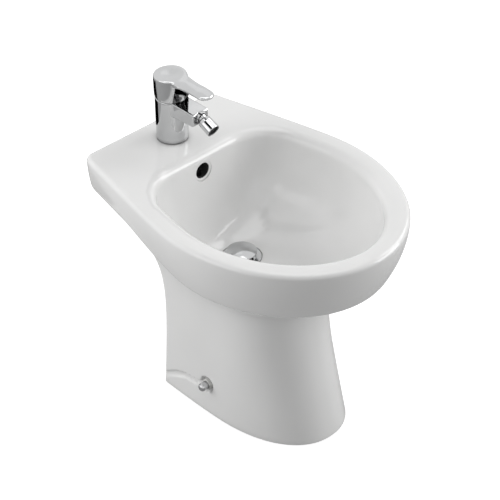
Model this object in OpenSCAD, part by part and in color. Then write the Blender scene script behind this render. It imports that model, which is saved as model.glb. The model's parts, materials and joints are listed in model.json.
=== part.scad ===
// Floor standing bidet with single-lever mixer, pop-up waste and concealed floor fixings.
// Millimetres. +Z is up, the wall edge of the deck faces +Y and the front of the rim faces -Y.
// The origin is on the floor, under the middle of the length and of the width.

/* [Ceramic body] */
// Height of the rim and of the tap deck above the floor
rim_height = 400; // [390:1:412]
// Length from the wall edge of the deck to the front of the rim
body_length = 504; // [494:1:520]
// Width across the widest place of the rim
body_width = 377; // [370:1:390]
// How far the widest place lies in front of the middle of the length
widest_forward = 20; // [10:1:30]
// Share by which the sides draw in towards the wall edge
side_taper = 0.236; // [0.2:0.01:0.26]
// Plan radius of the two corners at the wall edge
back_corner = 20; // [12:1:28]
// Width of the rim, from its outer face to the face of the bowl
rim_width = 38; // [36:1:42]
// Radius of the outer edge of the rim
rim_edge = 8; // [5:0.5:10]
// Radius of the lip between rim and bowl
lip_edge = 16; // [12:1:18]
// Thickness of the fired clay
wall = 9; // [8:0.5:10]
// Thickness of the deck and of the top of the rim
deck_thick = 14; // [12:1:16]

/* [Bowl] */
// Distance of the bowl's rear wall from the wall edge
deck_depth = 126; // [122:1:132]
// Plan radius of the bowl's two rear corners
bowl_corner = 74; // [60:1:80]
// Depth of the bowl's lowest place below the rim
bowl_depth = 151; // [145:1:155]
// Thickness of the boss that the waste is clamped to
boss_thick = 27; // [24:1:30]
// Centre of the waste, behind the middle of the length
waste_y = 39; // [34:1:44]
// Roundness of the bowl: 2 is an ellipse, more is squarer
bowl_round = 1.98; // [1.8:0.02:2]
// Share of the bowl's depth that is an even fall towards the waste
bowl_fall = 0.10; // [0.05:0.01:0.15]
// Radius of the overflow hole
overflow_r = 13.5; // [11:0.5:14]
// Depth of the overflow hole's centre below the rim
overflow_drop = 32; // [30:1:36]
// Radius of the cast overflow duct
duct_r = 6.5; // [5:0.5:7]

/* [Apron and underside] */
// How far below the rim the crease under the apron runs
crease_drop = 92; // [84:1:100]
// How far the apron has drawn in at the crease, as a share of the overhang
crease_inset = 0.18; // [0.14:0.01:0.22]
// Height of the vertical band round the deck at the wall edge
deck_band = 44; // [38:1:50]

/* [Pedestal] */
// How far below the rim the pedestal is narrowest
neck_drop = 200; // [190:1:210]
// Half width of the pedestal on the floor
foot_half = 99.5; // [94:0.5:104]
// Reach of the pedestal's foot in front of the middle of the length
foot_front = 163.5; // [156:0.5:170]
// Half width of the pedestal's neck
neck_half = 86.5; // [84:0.5:90]
// Reach of the neck in front of the middle of the length
neck_front = 104; // [98:1:112]
// Distance of the pedestal's rear face from the wall edge
pedestal_from_wall = 134; // [128:1:138]
// Half width of the opening for pipes in the rear
pipe_gap_half = 70; // [60:1:74]
// How far below the rim the opening for pipes ends
pipe_gap_drop = 74; // [66:1:100]

/* [Side fixings] */
// Height of the two side screws above the floor
screw_z = 55; // [50:1:60]
// Place of the side screws behind the middle of the length
screw_y = 19; // [10:1:30]
// Thread radius of the side screws
screw_r = 3; // [2.5:0.25:3.5]
// Depth of the pressed recess round the side screws
recess_depth = 3; // [2:0.25:4]
// Radius of the chrome cap over the side screw
side_cap_r = 7; // [6.5:0.25:8]
// How far the chrome cap stands out of the recess
side_cap_reach = 20; // [17:0.5:23]
// Thickness of the floor brackets
bracket_thick = 5; // [4:0.5:6]
// Radius of the holes for the floor screws
floor_hole_r = 3.25; // [3:0.25:4]
// Distance between the two floor screws of a bracket
floor_hole_gap = 30; // [26:1:36]

/* [Mixer] */
// Distance of the mixer's axis from the wall edge
tap_from_wall = 57; // [50:1:62]
// Radius of the mixer body at the deck
tap_r = 25.5; // [25:0.25:27]
// Height of the mixer body above the deck
tap_height = 76; // [74:1:80]
// Reach of the square spout from the mixer's axis
spout_reach = 66; // [62:1:74]
// Width of the spout
spout_width = 33; // [31:0.5:35]
// Height of the spout's end face
spout_height = 21; // [20.5:0.5:24]
// Radius of the tap hole in the deck
tap_hole_r = 17.5; // [17:0.25:18]
// Thread radius of the mounting stud
stud_r = 4; // [3:0.5:4]
// Radius of the two threaded water inlets
inlet_r = 4.5; // [4:0.25:5]

/* [Lever] */
// Radius of the lever's cap
cap_r = 27; // [26.5:0.25:28]
// Height of the lever's cap above the mixer body
cap_height = 39; // [37:1:42]
// Reach of the lever from the mixer's axis
lever_reach = 84; // [75:1:95]
// Thickness of the lever's tip
lever_thick = 7; // [5:0.5:8]
// Lift of the lever from closed to full flow, degrees
lever_lift = 14; // [10:1:15]
// Half width of the lever's square stem
stem_half = 4; // [3.5:0.25:4.25]

/* [Cartridge] */
// Radius of the ceramic cartridge
cartridge_r = 17.5; // [17:0.25:17.5]
// Height of the cartridge's housing and base together
cartridge_height = 30; // [29:0.5:31]
// Radius of the moving ceramic disc
disc_r = 9.5; // [9:0.25:10]

/* [Nozzle] */
// Radius of the nozzle's ball
ball_r = 8.3; // [8:0.1:8.5]
// Downward tilt of the nozzle at rest, degrees
nozzle_tilt = 24; // [15:1:28]
// Length from the centre of the ball to the mouth
nozzle_length = 29; // [27:0.5:32]
// Radius of the nozzle's barrel at its mouth
nozzle_r = 11.5; // [11:0.25:12]

/* [Waste] */
// Radius of the chrome flange
flange_r = 31.5; // [30:0.5:33]
// Thread radius of the waste tube
waste_tube_r = 20.95; // [20.5:0.05:21.5]
// Length of the tube below the flange
waste_length = 84; // [80:1:95]
// Radius of the tube's plain end, which the trap fits over
outlet_r = 20; // [19.75:0.05:20.05]
// Length of the tube's plain end
outlet_length = 42; // [38:1:42]
// Radius of the plug
plug_r = 24; // [23.5:0.25:25]
// How far the raised plug stands above its closed place
plug_lift = 9; // [6:0.5:10]

/* [Hidden] */
round_steps = 96;
cut = 0.5;

// ---------- plan outlines, front tip to back centre, on the +X side ----------
front_steps = 15;
side_steps = 8;
corner_steps = 5;
back_steps = 3;

// A plan outline: half width a, reach b in front of yc, superellipse power n,
// taper s over the rounding c, straight back edge at yb with corners of radius rc.
function side_x(y, a, yc, s, c) = a - s * (sqrt(pow(y - yc, 2) + c * c) - c);
function side_turn(y, yc, s, c) = atan(s * (y - yc) / sqrt(pow(y - yc, 2) + c * c));
function half_plan(a, b, yc, n, s, c, yb, rc) =
    let (turn = side_turn(yb - rc, yc, s, c))
    let (yt = yb - rc * (1 - sin(turn)))
    let (xc = side_x(yt, a, yc, s, c) - rc * cos(turn))
    concat(
        [for (i = [0 : front_steps - 1])
            let (t = 90 * i / front_steps)
            [a * pow(sin(t), 2 / n), yc - b * pow(cos(t), 2 / n)]],
        [for (i = [0 : side_steps - 1])
            let (y = yc + (yt - yc) * i / side_steps)
            [side_x(y, a, yc, s, c), y]],
        [for (i = [0 : corner_steps - 1])
            let (t = turn + (90 - turn) * i / corner_steps)
            [xc + rc * cos(t), yb - rc + rc * sin(t)]],
        [for (i = [0 : back_steps])
            [xc * (1 - i / back_steps), yb]]
    );

// ---------- places that follow from the sizes above ----------
bowl_floor = rim_height - bowl_depth;
crease_height = rim_height - crease_drop;
neck_height = rim_height - neck_drop;
pipe_gap_height = rim_height - pipe_gap_drop;
taper_round = 50;
rim_a = body_width / 2;
rim_yc = -widest_forward;
rim_b = body_length / 2 - widest_forward;
deck_back = body_length / 2;
bowl_back = deck_back - deck_depth;
pedestal_back = deck_back - pedestal_from_wall;
function rim_plan(inset) = half_plan(rim_a - inset, rim_b - inset, rim_yc, 2, side_taper,
    taper_round, deck_back - inset, max(back_corner - inset, 3));

bowl_a = rim_a - rim_width;
bowl_yc = rim_yc - 6;
bowl_b = body_length / 2 - rim_width + bowl_yc;
bowl_power = 1.95;
function bowl_plan(outset) = half_plan(bowl_a + outset, bowl_b + outset, bowl_yc, bowl_power, side_taper,
    taper_round, bowl_back + outset, bowl_corner + outset);

foot_power = 2.2;
foot_taper = 0.03;
foot_corner = 10;
foot_flare = 2.5;
function smin(a, b, k) = let (h = max(k - abs(a - b), 0) / k) min(a, b) - h * h * k / 4;
neck_round = 0.4;
function foot_share(z) = smin(z / neck_height, 1, neck_round);
function pedestal_half(z) = foot_half + (neck_half - foot_half) * foot_share(z);
function pedestal_plan(z, inset) =
    let (t = foot_share(z))
    half_plan(pedestal_half(z) - inset, foot_front + (neck_front - foot_front) * t - inset,
        0, foot_power, foot_taper, taper_round, pedestal_back + foot_flare * (1 - t) - inset, foot_corner);

function mix(p, q, t) = p + (q - p) * t;
function mix_plan(p, q, t) = [for (i = [0 : len(p) - 1]) mix(p[i], q[i], t)];
function smooth(t) = let (u = min(max(t, 0), 1)) u * u * (3 - 2 * u);

// ---------- outer skin: share of the way from pedestal (0) to rim (1) at height z ----------
rim_half = rim_plan(0);
points_half = len(rim_half);
blend_front = -70;
blend_back = 150;
rearness = [for (p = rim_half) smooth((p[1] - blend_front) / (blend_back - blend_front))];

// The underside grows out of the pedestal along a hyperbola: [front, rear] values.
under_drop = [56, 57];
under_round = [30, 52];
under_gain = [0.014, 0.0093];
function under_z(r) = crease_height - mix(under_drop[0], under_drop[1], r);
function under_c(r) = mix(under_round[0], under_round[1], r);
function under_g(r) = mix(under_gain[0], under_gain[1], r);
function under(r, z) = under_g(r) / 2 * ((z - under_z(r)) + norm([z - under_z(r), under_c(r)]));
function under_slope(r, z) = under_g(r) / 2 * (1 + (z - under_z(r)) / norm([z - under_z(r), under_c(r)]));
apron_top = rim_height - rim_edge;
band_z = rim_height - deck_band;
band_inset = 0.03;
apron_power = 1.7;
apron_end = 1.25;
function apron(r, z) =
    let (low = mix(crease_height, band_z, r))
    let (draw = mix(crease_inset, band_inset, r))
    1 - draw * pow(min(max(apron_top - z, 0) / (apron_top - low), apron_end), apron_power);
crease_round = 0.035;
function skin(r, z) = smin(apron(r, z), under(r, z), crease_round);

function skin_ring(z) =
    let (q = pedestal_plan(z, 0))
    [for (i = [0 : points_half - 1])
        let (p = mix(q[i], rim_half[i], skin(rearness[i], z)))
        [p[0], p[1], z]];
function cavity_ring(z) =
    let (q = pedestal_plan(z, 0))
    [for (i = [0 : points_half - 1])
        let (r = rearness[i])
        let (d = norm(rim_half[i] - q[i]))
        let (lean = norm([1, d * under_slope(r, z)]))
        let (t = smin(apron(r, z) - wall / d, under(r, z) - wall * lean / d, crease_round))
        let (p = mix(q[i], rim_half[i], t))
        [p[0], p[1], z]];
function rear_inside(z) = cavity_ring(z)[points_half - 1][1];

function flat_ring(plan, z) = [for (p = plan) [p[0], p[1], z]];

ceiling_z = rim_height - deck_thick;
apron_levels = concat(
    [for (f = [0, 0.2, 0.36, 0.46, 0.57, 0.7, 0.83, 0.93]) mix(ceiling_z, crease_height, f)],
    [for (f = [0, 0.04, 0.1, 0.18, 0.28, 0.4, 0.55, 0.75, 1]) mix(crease_height, neck_height, f)]);
cavity_levels = [for (f = [0, 0.18, 0.3, 0.39, 0.46, 0.53, 0.61, 0.7, 0.8, 0.9, 1])
    mix(neck_height, ceiling_z, f)];
pedestal_levels = [for (f = [0, 0.15, 0.4, 0.7, 1]) neck_height * f];

// ---------- bowl ----------
seat_r = flange_r + 2;
waste_centre = [0, waste_y];
bowl_top = rim_height - lip_edge;
function seat_plan(r) = let (h = bowl_plan(0)) [for (p = h)
    let (v = p - waste_centre)
    waste_centre + v * r / norm(v)];
function bowl_z(t) = bowl_floor + (bowl_top - bowl_floor) * t;
function bowl_reach(a) = pow(sin(a), 2 / bowl_round);
function bowl_rise(a) = (1 - bowl_fall) * (1 - pow(cos(a), 2 / bowl_round)) + bowl_fall * bowl_reach(a);
function bowl_ring(a) = flat_ring(mix_plan(seat_plan(seat_r), bowl_plan(0), bowl_reach(a)),
    bowl_z(bowl_rise(a)));
bowl_angles = [0, 12, 23, 34, 44, 54, 63, 71, 78, 84, 90];

// The rear of the bowl is thicker where the overflow duct runs down inside it.
duct_depth = wall + duct_r;
duct_cover = wall + 2 * duct_r + wall * 0.7;
duct_fade = 34;
function duct_bulge(x) = 1 - smooth((abs(x) - duct_r - 4) / duct_fade);
function shell_thick(p) = wall + (p[1] > waste_y ? (duct_cover - wall) * duct_bulge(p[0]) : 0);
function slope(a) =
    let (da = 0.5)
    [bowl_reach(a + da) - bowl_reach(a - da),
        (bowl_rise(a + da) - bowl_rise(a - da)) * (bowl_top - bowl_floor)];
function off_bowl(s, w, a, t) =
    let (v = w - s)
    let (d = slope(a))
    let (run = norm([d[0] * norm(v), d[1]]))
    let (p = s + v * bowl_reach(a) + v / norm(v) * t * d[1] / run)
    [p[0], p[1], bowl_z(bowl_rise(a)) - t * d[0] * norm(v) / run];
function shell_ring(a) =
    let (s = seat_plan(seat_r))
    let (w = bowl_plan(0))
    [for (i = [0 : points_half - 1]) off_bowl(s[i], w[i], a, shell_thick(w[i]))];
shell_angles = [80, 68, 56, 43, 30, 16];
boss_bottom = bowl_floor - boss_thick;
boss_r = 45;
boss_edge = 6;

// ---------- rings of the rim ----------
function arc_steps(n) = [for (i = [0 : n]) 90 * i / n];
lip_start = asin((ceiling_z - bowl_top) / lip_edge);
lip_rings = [for (i = [0 : 5])
    let (t = mix(lip_start, 90, i / 5))
    flat_ring(bowl_plan(lip_edge * (1 - cos(t))), bowl_top + lip_edge * sin(t))];
edge_rings = [for (t = arc_steps(4))
    flat_ring(rim_plan(rim_edge * (1 - sin(t))), apron_top + rim_edge * cos(t))];
crown = 0.4;
crown_ring = let (p = mix_plan(bowl_plan(lip_edge), rim_plan(rim_edge), 0.5))
    [for (i = [0 : points_half - 1]) [p[i][0], p[i][1], rim_height + crown * (1 - rearness[i])]];
shell_top = let (w = bowl_plan(0))
    [for (i = [0 : points_half - 1])
        let (v = w[i] - waste_centre)
        let (p = w[i] + v / norm(v) * shell_thick(w[i]))
        [p[0], p[1], ceiling_z]];

// A skin over rings of equal length. An endless skin joins its last ring to its first, and any
// other is capped at both ends.
module ring_skin(rings, endless = false) {
    n = len(rings[0]);
    m = len(rings);
    walls = [for (k = [0 : m - (endless ? 1 : 2)]) for (i = [0 : n - 1])
        let (j = (i + 1) % n)
        let (u = (k + 1) % m)
        each [[k * n + i, k * n + j, u * n + j], [k * n + i, u * n + j, u * n + i]]];
    caps = [[for (i = [n - 1 : -1 : 0]) i], [for (i = [0 : n - 1]) (m - 1) * n + i]];
    polyhedron(points = [for (r = rings) each r], faces = endless ? walls : concat(walls, caps),
        convexity = 8);
}
// The same over half rings, each mirrored to the -X side.
function full_ring(h) = concat(h, [for (i = [len(h) - 2 : -1 : 1]) [-h[i][0], h[i][1], h[i][2]]]);
module ring_shell(half_rings, endless = false) { ring_skin([for (h = half_rings) full_ring(h)], endless); }

// ---------- small shape helpers ----------
// Polygon with each corner rounded to radius r[i] by an arc of n steps.
function unit(v) = v / norm(v);
function turn_by(a) = a > 180 ? a - 360 : a < -180 ? a + 360 : a;
function corner_arc(p0, p1, p2, r, n) = r <= 0 ? [p1] :
    let (u = unit(p0 - p1))
    let (v = unit(p2 - p1))
    let (half = acos(u * v) / 2)
    let (c = p1 + unit(u + v) * r / sin(half))
    let (t1 = p1 + u * r / tan(half) - c)
    let (t2 = p1 + v * r / tan(half) - c)
    let (a1 = atan2(t1[1], t1[0]))
    let (da = turn_by(atan2(t2[1], t2[0]) - a1))
    [for (i = [0 : n]) c + r * [cos(a1 + da * i / n), sin(a1 + da * i / n)]];
function rounded(p, r, n = 6) = [for (i = [0 : len(p) - 1])
    each corner_arc(p[(i + len(p) - 1) % len(p)], p[i], p[(i + 1) % len(p)], r[i], n)];
function even(p, r) = [for (q = p) r];
function oblong(w, h) = [[w / 2, h / 2], [-w / 2, h / 2], [-w / 2, -h / 2], [w / 2, -h / 2]];

// Extrusions along X of a [y, z] outline and along Y of an [x, z] outline.
module along_x(x, length) { translate([x, 0, 0]) rotate([90, 0, 90]) linear_extrude(length) children(); }
module along_y(y, length) { translate([0, y + length, 0]) rotate([90, 0, 0]) linear_extrude(length)
    children(); }
module rod(r, z, h) { translate([0, 0, z]) cylinder(r = r, h = h, $fn = round_steps); }
module tube(r_out, r_in, z, h) {
    difference() {
        rod(r_out, z, h);
        rod(r_in, z - cut, h + 2 * cut);
    }
}
module turned(outline) { rotate_extrude($fn = round_steps) polygon(outline); }

// ---------- waste: heights ----------
flange_recess = 4;
gasket_thick = 1.5;
flange_z = bowl_floor - flange_recess + gasket_thick;
flange_top = bowl_floor + 0.2;
waste_bore_r = waste_tube_r + 2.5;

// ---------- ceramic body ----------
tap_y = deck_back - tap_from_wall;
overflow_z = rim_height - overflow_drop;
bush_hole_r = screw_r + 2.5;
spot_r = 13;
wall_lean = atan((foot_half - neck_half) / neck_height);
collar_r = side_cap_r + 1.75;
duct_angles = [62, 42, 24, 8];
function duct_point(a) = off_bowl(seat_plan(seat_r)[points_half - 1], bowl_plan(0)[points_half - 1], a,
    duct_depth);
duct_path = concat([[0, bowl_back + duct_depth, overflow_z]], [for (a = duct_angles) duct_point(a)],
    [[0, waste_y + waste_bore_r - 2, duct_point(duct_angles[len(duct_angles) - 1])[2] - 1]]);

// The overflow hole and the duct behind it, a round channel mitred at each bend of its path.
duct_sides = 16;
function duct_ring(i) =
    let (last = len(duct_path) - 1)
    let (before = unit(duct_path[max(i, 1)] - duct_path[max(i, 1) - 1]))
    let (after = unit(duct_path[min(i, last - 1) + 1] - duct_path[min(i, last - 1)]))
    let (d = unit(before + after))
    let (across = duct_r / (d * after))
    [for (k = [0 : duct_sides - 1])
        let (b = 360 * k / duct_sides)
        duct_path[i] + [duct_r * cos(b), -across * sin(b) * d[2], across * sin(b) * d[1]]];
module overflow_duct() {
    translate([0, bowl_back - lip_edge, overflow_z]) rotate([-90, 0, 0])
        cylinder(r = overflow_r, h = lip_edge + duct_depth, $fn = 48);
    ring_skin([for (i = [0 : len(duct_path) - 1]) duct_ring(i)]);
}

pipe_gap_corner = 30;
pipe_gap_front = 60;
gap_inside = 3;
gap_foot = 10;
gap_rises = [-2, 24, 40, 56, 72, 90, 112, 140];
module pipe_opening() {
    face = rounded([[pipe_gap_half, pipe_gap_height], [-pipe_gap_half, pipe_gap_height],
        [-pipe_gap_half, -cut], [pipe_gap_half, -cut]], [pipe_gap_corner, pipe_gap_corner, 0, 0]);
    behind_bowl = [for (rise = gap_rises) [rear_inside(neck_height + rise) - gap_inside,
        neck_height + rise]];
    side = concat([[deck_back, -cut], [pipe_gap_front, -cut], [pipe_gap_front, neck_height - gap_foot]],
        behind_bowl, [[deck_back, neck_height + gap_rises[len(gap_rises) - 1]]]);
    intersection() {
        along_y(pipe_gap_front - cut, deck_back - pipe_gap_front + 2 * cut) polygon(face);
        along_x(-pipe_gap_half - cut, 2 * (pipe_gap_half + cut)) polygon(side);
    }
}

// Pressed groove that runs from the side screw to the rear edge, as [y, z] offsets from the screw.
groove = [[0, 2], [23, -4], [39, -6.5], [54, -9], [73, -16], [85, -23], [115, -42], [115, -52], [85, -33],
    [70, -25], [54, -18], [33, -15], [10, -12]];
module side_recess() {
    translate([foot_half - recess_depth, 0, 0]) rotate([0, -wall_lean, 0]) {
        translate([0, screw_y, screw_z]) rotate([0, 90, 0]) cylinder(r = spot_r, h = 3 * wall, $fn = 64);
        along_x(0, 3 * wall) translate([screw_y, screw_z]) polygon(groove);
    }
    translate([pedestal_half(screw_z) - 3 * wall, screw_y, screw_z]) rotate([0, 90, 0])
        cylinder(r = bush_hole_r, h = 4 * wall, $fn = 48);
}

// The china body, in the four parts that are cast and stuck together on flat faces before firing.
module ceramic_rim() {
    color("white") difference() {
        ring_shell(concat(lip_rings, [crown_ring], edge_rings, [skin_ring(ceiling_z)]), endless = true);
        translate([0, tap_y, 0]) rod(tap_hole_r, ceiling_z - cut, deck_thick + 2 * cut + crown);
    }
}
module ceramic_bowl() {
    color("white") difference() {
        ring_shell(concat([for (a = bowl_angles) bowl_ring(a)], [lip_rings[0], shell_top],
            [for (a = shell_angles) shell_ring(a)],
            [flat_ring(seat_plan(boss_r), boss_bottom + boss_edge),
                flat_ring(seat_plan(boss_r - boss_edge), boss_bottom)]));
        translate([0, waste_y, 0]) rod(flange_r + 1, bowl_floor - flange_recess, flange_recess + cut);
        translate([0, waste_y, 0]) rod(waste_bore_r, boss_bottom - cut, boss_thick + cut);
        overflow_duct();
    }
}
module ceramic_apron() {
    color("white") difference() {
        ring_shell(concat([for (z = apron_levels) skin_ring(z)], [for (z = cavity_levels) cavity_ring(z)]),
            endless = true);
        pipe_opening();
    }
}
module ceramic_pedestal() {
    color("white") difference() {
        ring_shell(concat([for (i = [len(pedestal_levels) - 1 : -1 : 0]) skin_ring(pedestal_levels[i])],
            [for (z = pedestal_levels) cavity_ring(z)]), endless = true);
        pipe_opening();
        side_recess();
        mirror([1, 0, 0]) side_recess();
    }
}

// ---------- mixer: heights above the deck ----------
ring_thick = 1.2;
spigot_r = tap_hole_r - 0.5;
spigot_drop = 3;
body_taper = 0.8;
tap_top_r = tap_r + body_taper;
pocket_depth = 40;
pocket_z = tap_height - pocket_depth;
pocket_r = cartridge_r + 0.1;
nut_thread_r = cartridge_r + 2;
nut_z = pocket_z + cartridge_height;
nut_height = 8;
thread_lead = 4;
port_r = 3;
outlet_drop = 8;
inlet_x = 8.5;
inlet_y = 4;
inlet_depth = 14;
outlet_y = -9;
stud_y = -9.5;
stud_depth = 13;
riser_y = -(pocket_r + tap_r) / 2;
riser_r = 2.4;
spout_mid_drop = 11;
spout_mid = tap_height - spout_mid_drop;
riser_lap = 2;
spout_bore_r = 5;
ball_ahead = 2;
ball_y = -spout_reach - ball_ahead;
socket_r = ball_r + 1.3;
socket_back = 13;

module at_tap() { translate([0, tap_y, rim_height]) children(); }
// Children are drawn round the nozzle socket's axis: +Z there points out of the spout.
module at_socket() { at_tap() translate([0, ball_y, spout_mid]) rotate([90, 0, 0]) children(); }
// The same for the tilted nozzle.
module at_nozzle() { at_tap() translate([0, ball_y, spout_mid]) rotate([90 + nozzle_tilt, 0, 0])
    children(); }

spout_edge = 1.6;
spout_brow = 3;
spout_fall = 1.2;
spout_root_drop = 4;
module spout() {
    tip_top = tap_height - spout_fall;
    side = rounded([[0, tap_height], [-spout_reach, tip_top], [-spout_reach, tip_top - spout_height],
        [0, tap_height - spout_height - spout_root_drop]], [0, spout_brow, spout_edge, 0]);
    front = rounded([[spout_width / 2, tap_height], [-spout_width / 2, tap_height],
        [-spout_width / 2, tap_height - spout_height - spout_root_drop - spout_edge],
        [spout_width / 2, tap_height - spout_height - spout_root_drop - spout_edge]],
        [spout_edge, spout_edge, spout_edge, spout_edge]);
    plan = rounded([[spout_width / 2, 0], [-spout_width / 2, 0], [-spout_width / 2, -spout_reach],
        [spout_width / 2, -spout_reach]], [0, 0, spout_edge, spout_edge]);
    intersection() {
        along_x(-spout_width / 2, spout_width) polygon(side);
        along_y(-spout_reach, spout_reach) polygon(front);
        linear_extrude(2 * tap_height) polygon(plan);
    }
}

module mixer_body() {
    edge = 0.8;
    shell = [[0, ring_thick], [tap_r - edge, ring_thick], [tap_r, ring_thick + edge],
        [tap_top_r, tap_height - edge], [tap_top_r - edge, tap_height], [0, tap_height]];
    color("silver")
    difference() {
        union() {
            at_tap() turned(shell);
            at_tap() rod(spigot_r, -spigot_drop, spigot_drop + ring_thick + cut);
            at_tap() spout();
        }
        at_tap() {
            rod(pocket_r, pocket_z, tap_height);
            rod(nut_thread_r, nut_z - thread_lead, tap_height);
            for (x = [-inlet_x, inlet_x]) translate([x, inlet_y, 0]) {
                rod(inlet_r, -spigot_drop - cut, inlet_depth + cut);
                rod(port_r, 0, pocket_z + cut);
            }
            translate([0, stud_y, 0]) rod(stud_r, -spigot_drop - cut, stud_depth + cut);
            translate([0, outlet_y, 0]) rod(port_r, pocket_z - outlet_drop, outlet_drop + cut);
            translate([0, riser_y, 0]) rod(riser_r, pocket_z - outlet_drop,
                spout_mid - riser_lap - pocket_z + outlet_drop);
            translate([0, outlet_y, pocket_z - outlet_drop + riser_lap]) rotate([90, 0, 0])
                cylinder(r = riser_r - 0.2, h = outlet_y - riser_y, $fn = 32);
        }
        at_socket() rod(socket_r, -socket_back, socket_back + ball_r);
        at_socket() rod(spout_bore_r, -spout_reach - ball_ahead - riser_y, spout_reach + riser_y);
    }
}

module mixer_base_ring() {
    color("dimgray") at_tap() tube(tap_r - 0.3, spigot_r + 0.3, 0, ring_thick);
}

// ---------- what clamps the mixer to the deck ----------
seal_thick = 3;
plate_thick = 2.5;
stud_nut_height = 15;
nut_grip = 3.5;
nut_flange = 2;
stud_length = 62;
clamp_r = 27;
hose_room = 6;
hose_slot_y = -2;
stud_play = 0.25;
module horseshoe(z, h) {
    slot_half = inlet_x + hose_room;
    at_tap() difference() {
        rod(clamp_r, z, h);
        translate([-slot_half, hose_slot_y, z - cut]) cube([2 * slot_half, 2 * clamp_r, h + 2 * cut]);
        translate([0, stud_y, 0]) rod(stud_r + stud_play, z - cut, h + 2 * cut);
    }
}
module horseshoe_seal() { color("dimgray") horseshoe(-deck_thick - seal_thick, seal_thick); }
module horseshoe_plate() { color("lightgray") horseshoe(-deck_thick - seal_thick - plate_thick,
    plate_thick); }
nut_top = -deck_thick - seal_thick - plate_thick;
module mounting_stud() {
    color("lightgray") at_tap() translate([0, stud_y, 0])
        rod(stud_r - 0.1, stud_depth - spigot_drop - stud_length, stud_length);
}
module stud_nut() {
    color("goldenrod") at_tap() translate([0, stud_y, nut_top - stud_nut_height]) difference() {
        union() {
            cylinder(r = stud_r + nut_grip, h = stud_nut_height - nut_flange, $fn = 6);
            rod(stud_r + nut_grip + 1, stud_nut_height - nut_flange, nut_flange);
        }
        rod(stud_r, -cut, stud_nut_height + 2 * cut);
    }
}

// ---------- cartridge: heights above the deck ----------
base_thick = 6;
disc_thick = 3.5;
base_top = pocket_z + base_thick;
fixed_top = base_top + disc_thick;
moving_z = fixed_top + 0.02;
moving_top = moving_z + disc_thick;
spindle_z = moving_top + 0.3;
pivot_rise = 24;
pivot_z = pocket_z + pivot_rise;
housing_wall = 3.5;
housing_roof = 2;
spindle_r = cartridge_r - housing_wall;
neck_r = 10;
neck_out = 3;
housing_top = nut_z;
fixed_disc_r = cartridge_r - 5;
stem_drop = 10;
stem_low_z = pivot_z - stem_drop;
stem_ball_r = 3;
disc_rim = 3;
disc_recess = 1.2;
ball_socket = 2;
ball_play = 0.3;
pin_r = 1.5;
slot_half = 7.5;
seal_out = port_r + 1.4;
seal_height = 1.5;
port_places = [[inlet_x, inlet_y], [-inlet_x, inlet_y], [0, outlet_y]];

module at_ports() { for (p = port_places) translate([p[0], p[1], 0]) children(); }
module cartridge_base() {
    color("whitesmoke") at_tap() difference() {
        rod(cartridge_r - 0.3, pocket_z, base_thick);
        at_ports() {
            rod(port_r - 0.5, pocket_z - cut, base_thick + 2 * cut);
            rod(seal_out, pocket_z - cut, seal_height + cut);
        }
    }
}
module cartridge_seals() {
    color("black") at_tap() at_ports() tube(seal_out, port_r - 0.2, pocket_z, seal_height);
}
module fixed_disc() {
    color("ivory") at_tap() difference() {
        rod(fixed_disc_r, base_top, disc_thick);
        at_ports() rod(port_r - 0.8, base_top - cut, disc_thick + 2 * cut);
    }
}
module moving_disc() {
    color("ivory") at_tap() difference() {
        rod(disc_r, moving_z, disc_thick);
        rod(disc_r - disc_rim, moving_z - cut, disc_recess + cut);
        rod(stem_ball_r + ball_play, moving_top - ball_socket, ball_socket + cut);
    }
}
module cartridge_housing() {
    color("whitesmoke") at_tap() difference() {
        rod(cartridge_r, base_top, housing_top - base_top);
        rod(spindle_r + 0.1, base_top - cut, housing_top - base_top - housing_roof + cut);
        rod(neck_r + 0.4, base_top, housing_top - base_top + cut);
    }
}
module cartridge_spindle() {
    neck_top = nut_z + neck_out;
    color("gray") at_tap() difference() {
        union() {
            rod(spindle_r, spindle_z, housing_top - housing_roof - 0.3 - spindle_z);
            rod(neck_r, spindle_z, neck_top - spindle_z);
        }
        translate([-stem_half - 0.4, -slot_half, spindle_z - cut])
            cube([2 * stem_half + 0.8, 2 * slot_half, neck_top - spindle_z + 2 * cut]);
        translate([-spindle_r - cut, 0, pivot_z]) rotate([0, 90, 0])
            cylinder(r = pin_r, h = 2 * spindle_r + 2 * cut, $fn = 32);
    }
}
module stem_pivot_pin() {
    color("lightgray") at_tap() translate([1 - spindle_r, 0, pivot_z]) rotate([0, 90, 0])
        cylinder(r = pin_r, h = 2 * spindle_r - 2, $fn = 32);
}
stem_cover = 10;
stem_low_rod = 6;
stem_top = tap_height + cap_height - stem_cover;
module lever_stem() {
    color("lightgray") at_tap() difference() {
        union() {
            translate([0, 0, stem_low_z]) sphere(r = stem_ball_r, $fn = 32);
            rod(stem_ball_r - 0.6, stem_low_z, stem_low_rod);
            translate([-stem_half, -stem_half, stem_low_z + stem_low_rod - 2])
                cube([2 * stem_half, 2 * stem_half, stem_top - stem_low_z - stem_low_rod + 2]);
        }
        translate([-2 * stem_half, 0, pivot_z]) rotate([0, 90, 0])
            cylinder(r = pin_r + 0.05, h = 4 * stem_half, $fn = 32);
    }
}
key_slot = 4;
key_depth = 3;
module cartridge_nut() {
    inner = neck_r + 2;
    color("goldenrod") at_tap() difference() {
        rod(nut_thread_r - 0.1, nut_z, nut_height);
        rod(inner, nut_z - cut, nut_height + 2 * cut);
        for (a = [0 : 90 : 270]) rotate(a) translate([inner - 1, -key_slot / 2,
            nut_z + nut_height - key_depth])
            cube([key_slot, key_slot, key_depth + cut]);
    }
}

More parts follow.
